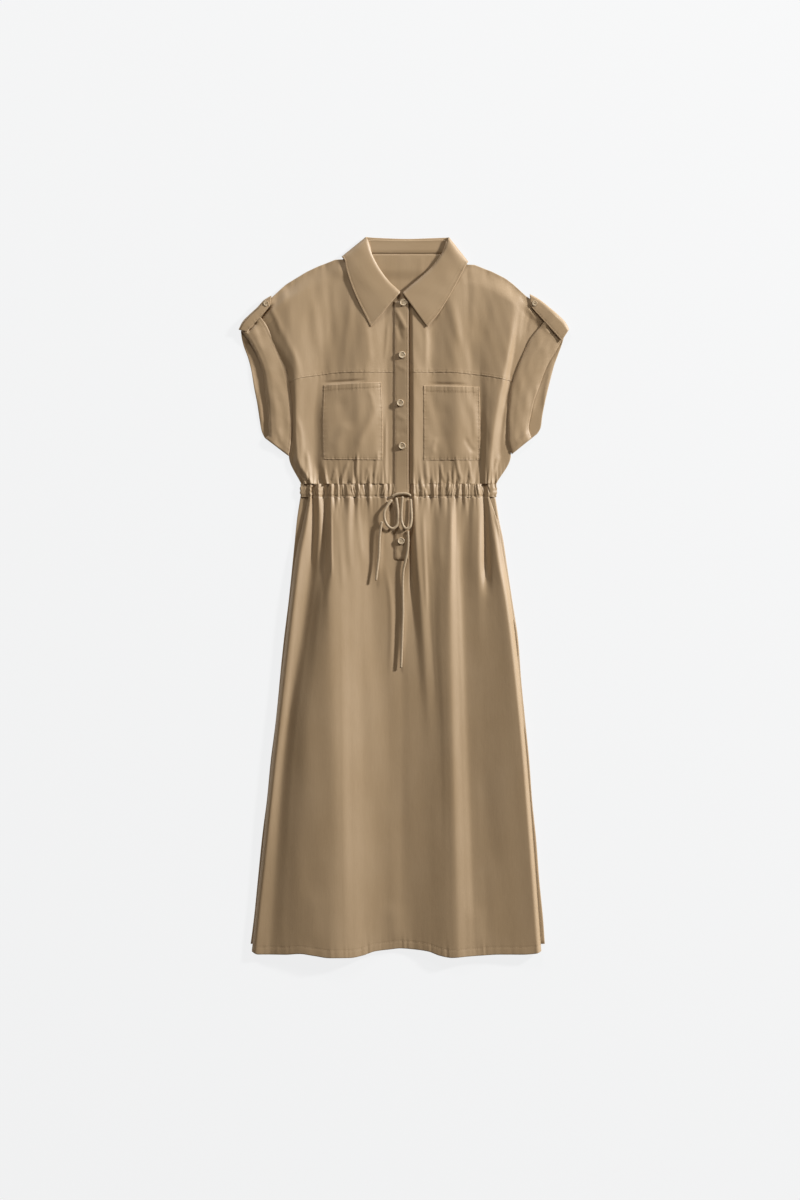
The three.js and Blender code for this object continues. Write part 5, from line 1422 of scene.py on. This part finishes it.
# %% Collar bands
def collar_rows(sections, shares, profile):
    """Rows of points across a collar band, one for each section and three round a side fold."""
    rows = []
    for index, (inner, outer, inner_z, outer_z) in enumerate(sections):
        inner, outer = np.array(inner), np.array(outer)
        if inner_z is None:
            before, after = sections[index - 1], sections[index + 1]
            for part in (0.2, 0.5, 0.8):
                swing, back = (1 - math.cos(math.pi * part)) / 2, 1 - math.sin(math.pi * part)
                side = before if part < 0.5 else after
                heights = [mix(before[k], after[k], swing) for k in (2, 3)]
                row = []
                for share in shares:
                    here = mix(inner, outer, share)
                    inward = mix(np.array(side[0]), np.array(side[1]), share)
                    row.append((*mix(here, inward, back * 0.6), mix(*heights, share)))
                rows.append(row)
            continue
        front = inner_z > FRONT_Z
        rows.append([
            (*mix(inner, outer, share), mix(inner_z, outer_z, share) + (profile(share) if front else 0))
            for share in shares
        ])
    return np.array(rows)


def refined(rows, spacing):
    """More rows on smooth curves through the given ones."""
    columns = [through(rows[:, c], spacing) for c in range(rows.shape[1])]
    count = max(len(c) for c in columns)
    even = []
    for c in columns:
        place = np.linspace(0, len(c) - 1, count)
        even.append(np.stack([np.interp(place, np.arange(len(c)), c[:, axis]) for axis in range(3)], -1))
    return np.stack(even, 1)


# %% Collar fall and stand
FALL_SHARES = np.concatenate([[0, 0.012, 0.03, 0.06, 0.1], np.linspace(0.15, 0.93, 18), [0.955, 0.98, 1]])


def fall_profile(share):
    """Height over the line from inner to outer edge: a rolled fold, a low swell, a pressed edge."""
    rolled = -1.5 * max(0.0, 1 - share / 0.075) ** 2
    return rolled + 1.6 * 4 * share * (1 - share) * (1 - 0.25 * share)


EDGE_STITCH = 2.6
fall = refined(collar_rows(FALL, FALL_SHARES, fall_profile), 2.2)
stand = refined(collar_rows(STAND, np.linspace(0, 1, 12), lambda share: 0.0), 2.4)
fall_front = fall[..., 2] > 6
relief = rumple(fall, 0.16, 101, across=60, down=60)
for edge in ("end", "top", "bottom"):
    relief += seam_relief(fall, edge, EDGE_STITCH, depth=0.3, pucker=0.12, pitch=6, seed=102)
    relief += 0.35 * np.exp(-(((from_edge(fall, edge) - 1.0) / 0.9) ** 2))
fall = raised(fall, np.where(fall_front, relief, 0))
stand_top = np.exp(-((from_edge(stand, "start") / 1.2) ** 2))
stand_seam = ease(1 - from_edge(stand, "end") / 5)
stand = raised(stand, np.where(stand[..., 2] < 4, 0.5 * stand_top - 0.7 * stand_seam, 0))
add_piece("cloth_collar_stand", shell_mesh("collar_stand", stand, STAND_CLOTH), cloth, "cloth", "collar_stand")
add_piece("cloth_collar_fall", shell_mesh("collar_fall", fall, FALL_CLOTH), cloth, "cloth", "collar_fall")

front_rows = int(np.argmax(fall[:, 12, 2] < 6))
back_rows = int(len(fall) - np.argmax(fall[::-1, 12, 2] < 6))
for leaf, tip in ((fall[: front_rows - 4], "top"), (fall[back_rows + 4 :], "bottom")):
    for edge in ("end", tip):
        keep_stitches("collar", leaf, FALL_CLOTH, edge, EDGE_STITCH, trim=3)
keep_stitches("collar", fall[back_rows + 4 :], FALL_CLOTH, "end", 7.0, trim=6)
keep_stitches("collar", stand, STAND_CLOTH, "end", 2.0, trim=3)
print("collar points:", fall.shape[:2], stand.shape[:2])

# %% [markdown]
# ## Buttons
#
# Five small shirt buttons close the band and one sits on each tab. The real ones are turned
# from resin: a rounded rim, a dished middle and four holes, sewn with a cross of thread. One
# profile is spun in mesh code and its holes are cut; Geometry Nodes then set it at its places,
# because the same button repeats.

# %% One button
BAND_BUTTONS = ["button_1", "button_2", "button_3", "button_4", "button_5"]
TAB_BUTTONS = ["tab_button_right", "tab_button_left"]
BUTTON_PROFILE = [  # share of the radius, height in millimetres
    (0, 0.1), (0.6, 0.05), (0.86, 0.25), (0.97, 0.7), (1, 1.15), (0.985, 1.6), (0.93, 1.95), (0.85, 2.08),
    (0.77, 2.0), (0.7, 1.72), (0.62, 1.5), (0.4, 1.42), (0, 1.4),
]
BUTTON_RADIUS = 5.75
HOLE_OFFSET = 0.2
HOLE_RADIUS = 0.085


def button_mesh():
    """A button of radius 1 with four holes; its heights are for the real radius."""
    solid = bmesh.new()
    for share, height in BUTTON_PROFILE:
        solid.verts.new((share, 0, height / BUTTON_RADIUS))
    solid.verts.ensure_lookup_table()
    for a, b in zip(solid.verts[:-1], solid.verts[1:]):
        solid.edges.new((a, b))
    bmesh.ops.spin(
        solid, geom=solid.verts[:] + solid.edges[:], axis=(0, 0, 1), cent=(0, 0, 0),
        angle=2 * math.pi, steps=40, use_duplicate=False,
    )
    bmesh.ops.remove_doubles(solid, verts=solid.verts, dist=1e-5)
    bmesh.ops.recalc_face_normals(solid, faces=solid.faces)
    mesh = bpy.data.meshes.new("button")
    solid.to_mesh(mesh)
    solid.free()
    whole = bpy.data.objects.new("button_blank", mesh)
    drill_mesh = bpy.data.meshes.new("drill")
    drills = bmesh.new()
    for sx, sy in ((1, 1), (1, -1), (-1, 1), (-1, -1)):
        made = bmesh.ops.create_cone(
            drills, segments=12, radius1=HOLE_RADIUS, radius2=HOLE_RADIUS, depth=1, cap_ends=True,
        )
        bmesh.ops.translate(drills, verts=made["verts"], vec=(sx * HOLE_OFFSET, sy * HOLE_OFFSET, 0))
    drills.to_mesh(drill_mesh)
    drills.free()
    drill = bpy.data.objects.new("drill", drill_mesh)
    for made in (whole, drill):
        bpy.context.collection.objects.link(made)
    cut = whole.modifiers.new("holes", "BOOLEAN")
    cut.object, cut.solver = drill, "EXACT"
    cut_mesh = bpy.data.meshes.new_from_object(whole.evaluated_get(bpy.context.evaluated_depsgraph_get()))
    for made in (whole, drill):
        bpy.data.objects.remove(made)
    cut_mesh.polygons.foreach_set("use_smooth", np.ones(len(cut_mesh.polygons), dtype=bool))
    cut_mesh.set_sharp_from_angle(angle=math.radians(40))
    return cut_mesh


blank_button = button_mesh()
print("button faces:", len(blank_button.polygons))


# %% Trees of nodes
def new_tree(name, inputs):
    """A Geometry Nodes tree with a mesh input and output and the named inputs."""
    tree = bpy.data.node_groups.new(name, "GeometryNodeTree")
    tree.interface.new_socket("Geometry", in_out="INPUT", socket_type="NodeSocketGeometry")
    for title, kind, value in inputs:
        socket = tree.interface.new_socket(title, in_out="INPUT", socket_type=kind)
        if value is not None:
            socket.default_value = value
    tree.interface.new_socket("Geometry", in_out="OUTPUT", socket_type="NodeSocketGeometry")
    return tree, tree.nodes.new("NodeGroupInput").outputs, tree.nodes.new("NodeGroupOutput")


def realized(tree, instances, finish, group_output):
    """The end of every tree: Realize Instances, Set Material, output."""
    real = node(tree, "GeometryNodeRealizeInstances", {0: instances})
    painted = node(tree, "GeometryNodeSetMaterial", {"Geometry": real.outputs[0], "Material": finish})
    tree.links.new(painted.outputs[0], group_output.inputs[0])


def run_tree(name, mesh, tree, values):
    """Applies a tree to a mesh and returns the plain mesh that it makes."""
    holder = bpy.data.objects.new(name, mesh)
    bpy.context.collection.objects.link(holder)
    modifier = holder.modifiers.new("nodes", "NODES")
    modifier.node_group = tree
    for item in tree.interface.items_tree:
        if item.in_out == "INPUT" and item.name in values:
            modifier[item.identifier] = values[item.name]
    bpy.context.view_layer.update()
    made = bpy.data.meshes.new_from_object(holder.evaluated_get(bpy.context.evaluated_depsgraph_get()))
    bpy.data.objects.remove(holder)
    return made


# %% Buttons at their places
def button_tree(blank, finish):
    tree, given, output = new_tree("buttons", [
        ("Radius", "NodeSocketFloat", BUTTON_RADIUS * MM), ("Turn", "NodeSocketFloat", 0.5),
    ])
    source = bpy.data.objects.new("button_source", blank)
    bpy.context.collection.objects.link(source)
    model = node(tree, "GeometryNodeObjectInfo", {"Object": source})
    index = node(tree, "GeometryNodeInputIndex").outputs[0]
    turn = node(tree, "ShaderNodeCombineXYZ", {"Z": sum_of(tree, index, given["Turn"], "MULTIPLY")})
    points = node(tree, "GeometryNodeMeshToPoints", {"Mesh": given["Geometry"]})
    placed = node(tree, "GeometryNodeInstanceOnPoints", {
        "Points": points.outputs[0], "Instance": model.outputs["Geometry"],
        "Rotation": turn.outputs[0], "Scale": given["Radius"],
    })
    realized(tree, placed.outputs[0], finish, output)
    return tree, source


def seat(name):
    low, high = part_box(name)
    return ((low[0] + high[0]) / 2, (low[1] + high[1]) / 2, low[2] - 0.0002)


sewn_on, source = button_tree(blank_button, resin)
for group, nodes in (("band_buttons", BAND_BUTTONS), ("tab_buttons", TAB_BUTTONS)):
    radius = (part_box(nodes[0])[1][0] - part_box(nodes[0])[0][0]) / 2
    places = bpy.data.meshes.new(group)
    places.from_pydata([seat(n) for n in nodes], [], [])
    mesh = run_tree(group, places, sewn_on, {"Radius": float(radius), "Turn": 0.45})
    add_piece(group, mesh, resin, "button", *nodes)
bpy.data.objects.remove(source)


# %% [markdown]
# ## Stitches
#
# Topstitching runs along the yokes, pockets, band, cuffs, tabs, collar and hem. Each row is a
# line that was kept on the cloth while its piece was made. A Geometry Nodes tree lays short
# rounded threads along those lines, a pitch apart, turned along the line. The crosses in the
# buttons are laid by the same tree.

# %% Stitch tree
STITCH_PITCH = 3.0
STITCH_LENGTH = 2.1
THREAD_RADIUS = 0.24


def stitch_tree(finish):
    tree, given, output = new_tree("stitches", [
        ("Pitch", "NodeSocketFloat", STITCH_PITCH * MM), ("Length", "NodeSocketFloat", STITCH_LENGTH * MM),
        ("Radius", "NodeSocketFloat", THREAD_RADIUS * MM),
    ])
    curve = node(tree, "GeometryNodeMeshToCurve", {"Mesh": given["Geometry"]})
    spacing = {"Curve": curve.outputs[0], "Length": given["Pitch"]}
    even = node(tree, "GeometryNodeResampleCurve", spacing, mode="LENGTH")
    tangent = node(tree, "GeometryNodeInputTangent").outputs[0]
    turned = node(tree, "FunctionNodeAlignRotationToVector", {"Vector": tangent}, axis="Z")
    bead = node(tree, "GeometryNodeMeshUVSphere", {"Segments": 6, "Rings": 4, "Radius": 1.0})
    smooth_bead = node(tree, "GeometryNodeSetShadeSmooth", {"Geometry": bead.outputs[0]})
    half = sum_of(tree, given["Length"], 0.5, "MULTIPLY")
    size = node(tree, "ShaderNodeCombineXYZ", {"X": given["Radius"], "Y": given["Radius"], "Z": half})
    placed = node(tree, "GeometryNodeInstanceOnPoints", {
        "Points": even.outputs[0], "Instance": smooth_bead.outputs[0],
        "Rotation": turned.outputs[0], "Scale": size.outputs[0],
    })
    realized(tree, placed.outputs[0], finish, output)
    return tree


def line_mesh(name, lines):
    vertices, edges = [], []
    for line in lines:
        start = len(vertices)
        vertices += (np.asarray(line) * MM).tolist()
        edges += [(start + i, start + i + 1) for i in range(len(line) - 1)]
    mesh = bpy.data.meshes.new(name)
    mesh.from_pydata(vertices, edges, [])
    return mesh


# %% Stitch rows
topstitch = stitch_tree(thread)
for group, lines in stitch_lines.items():
    lines = [line for line in lines if len(line) > 2]
    mesh = run_tree(f"stitches_{group}", line_mesh(group, lines), topstitch, {})
    add_piece(f"stitches_{group}", mesh, thread, "cloth")
    print(f"stitches_{group}: {len(mesh.polygons) // 24} stitches in {len(lines)} rows")


# %% Thread in the buttons
def button_threads(name):
    low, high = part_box(name)
    x, y = (low[0] + high[0]) / 2 / MM, (low[1] + high[1]) / 2 / MM
    radius, z = (high[0] - low[0]) / 2 / MM, low[2] / MM + 1.45
    reach = HOLE_OFFSET * radius * 1.15
    return [
        [(x - reach, y + s * reach, z), (x, y + s * reach, z + 0.2), (x + reach, y + s * reach, z)]
        for s in (1, -1)
    ]


crosses = [line for name in BAND_BUTTONS + TAB_BUTTONS for line in button_threads(name)]
button_stitch = {"Pitch": 0.0009, "Length": 0.0016, "Radius": 0.00022}
mesh = run_tree("button_threads", line_mesh("crosses", crosses), topstitch, button_stitch)
add_piece("stitches_buttons", mesh, thread, "cloth")
print("button threads:", len(crosses))

# %% [markdown]
# ## Sizes of the cut cloth
#
# Each piece of cloth is listed with the size of its cut and, for most, the piece that it rests
# on. The gathered pieces were cut wider than they lie; the cuffs and the casing are measured all
# round. Where a cut isn't a rectangle its own area is given.

# %% Cut sizes
CUTS = {  # width and length in millimetres, area in square metres, how it is held
    "yoke_right": (305, 195, 0.0385, "laid"),
    "yoke_left": (305, 196, 0.0365, "laid"),
    "bodice_right": (232, 190, 0.0425, "gathered"),
    "bodice_left": (225, 191, 0.0405, "gathered"),
    "pocket_right": (99, 128, None, "laid"),
    "pocket_left": (94, 123, None, "laid"),
    "casing": (22, 860, None, "gathered"),
    "front_skirt": (520, 760, 0.345, "gathered"),
    "back_skirt": (510, 742, 0.335, "gathered"),
    "back_bodice": (545, 385, 0.147, "laid"),
    "button_band": (24.5, 426, None, "laid"),
    "cuff_right": (502, 58, 0.0196, "folded"),
    "cuff_left": (505, 60, 0.0201, "folded"),
    "tab_right": (39, 79, 0.0024, "folded"),
    "tab_left": (42, 88, 0.0032, "folded"),
    "collar_stand": (23, 382, 0.0068, "folded"),
    "collar_fall": (76, 472, 0.0212, "folded"),
}
RESTS_ON = {
    "yoke": "cloth_back_bodice", "bodice": "cloth_back_bodice", "front": "cloth_back_skirt",
    "pocket": "cloth_bodice", "button": "cloth_front_skirt", "collar": "cloth_back_bodice", "tab": "cloth_cuff",
}
for name, (width, length, area, held) in CUTS.items():
    kind, side = name.split("_")[0], name.split("_")[-1]
    below = RESTS_ON.get(kind)
    if below in ("cloth_bodice", "cloth_cuff"):
        below = f"{below}_{side}"
print("cloth pieces:", len(CUTS))

# %% [markdown]
# ## Surface and light
#
# The dress lies on a plain pale surface. A light panel at the upper right rakes across the
# folds, near enough to leave the hem a little darker, as in the picture. A weaker panel above
# the collar and a dim surround fill the shadows.

# %% Surface and lights
FLOOR_GLOW = (0.825, 0.83, 0.835, 1)
FLOOR_REACH, FLOOR_LEVEL = 6, -0.0004
floor_mesh = bpy.data.meshes.new("floor")
turned = ((-1, -1), (1, -1), (1, 1), (-1, 1))
floor_corners = [(x * FLOOR_REACH, y * FLOOR_REACH, FLOOR_LEVEL) for x, y in turned]
floor_mesh.from_pydata(floor_corners, [], [(0, 1, 2, 3)])
floor = bpy.data.objects.new("floor", floor_mesh)
bpy.context.collection.objects.link(floor)
floor_finish, _, floor_shader = new_material("pale surface", 0.9)
floor_shader.inputs["Base Color"].default_value = (0.1, 0.1, 0.1, 1)
floor_shader.inputs["Specular IOR Level"].default_value = 0
floor_shader.inputs["Emission Color"].default_value = FLOOR_GLOW
floor_shader.inputs["Emission Strength"].default_value = 1
floor_mesh.materials.append(floor_finish)

LIGHTS = [  # name, place, size of the panel and power in watts
    ("key", (5.0, 2.75, 2.05), 0.45, 545),
    ("top", (-0.9, 3.6, 2.2), 1.0, 60),
]
FILL = 0.09
FILL_COLOUR = (1, 0.8, 0.62, 1)


def panel_light(name, place, size, power):
    """A square light panel that faces the middle of the dress."""
    data = bpy.data.lights.new(name, "AREA")
    data.energy, data.size = power, size
    made = bpy.data.objects.new(name, data)
    made.location = place
    made.rotation_euler = Vector(place).to_track_quat("Z", "Y").to_euler()
    made.visible_camera = False
    bpy.context.collection.objects.link(made)


for light in LIGHTS:
    panel_light(*light)
world = bpy.data.worlds.new("studio")
world.use_nodes = True
world.node_tree.nodes["Background"].inputs["Color"].default_value = FILL_COLOUR
world.node_tree.nodes["Background"].inputs["Strength"].default_value = FILL
bpy.context.scene.world = world
bpy.context.scene.view_settings.view_transform = "Standard"
print("lights:", [light[0] for light in LIGHTS], "fill", FILL)
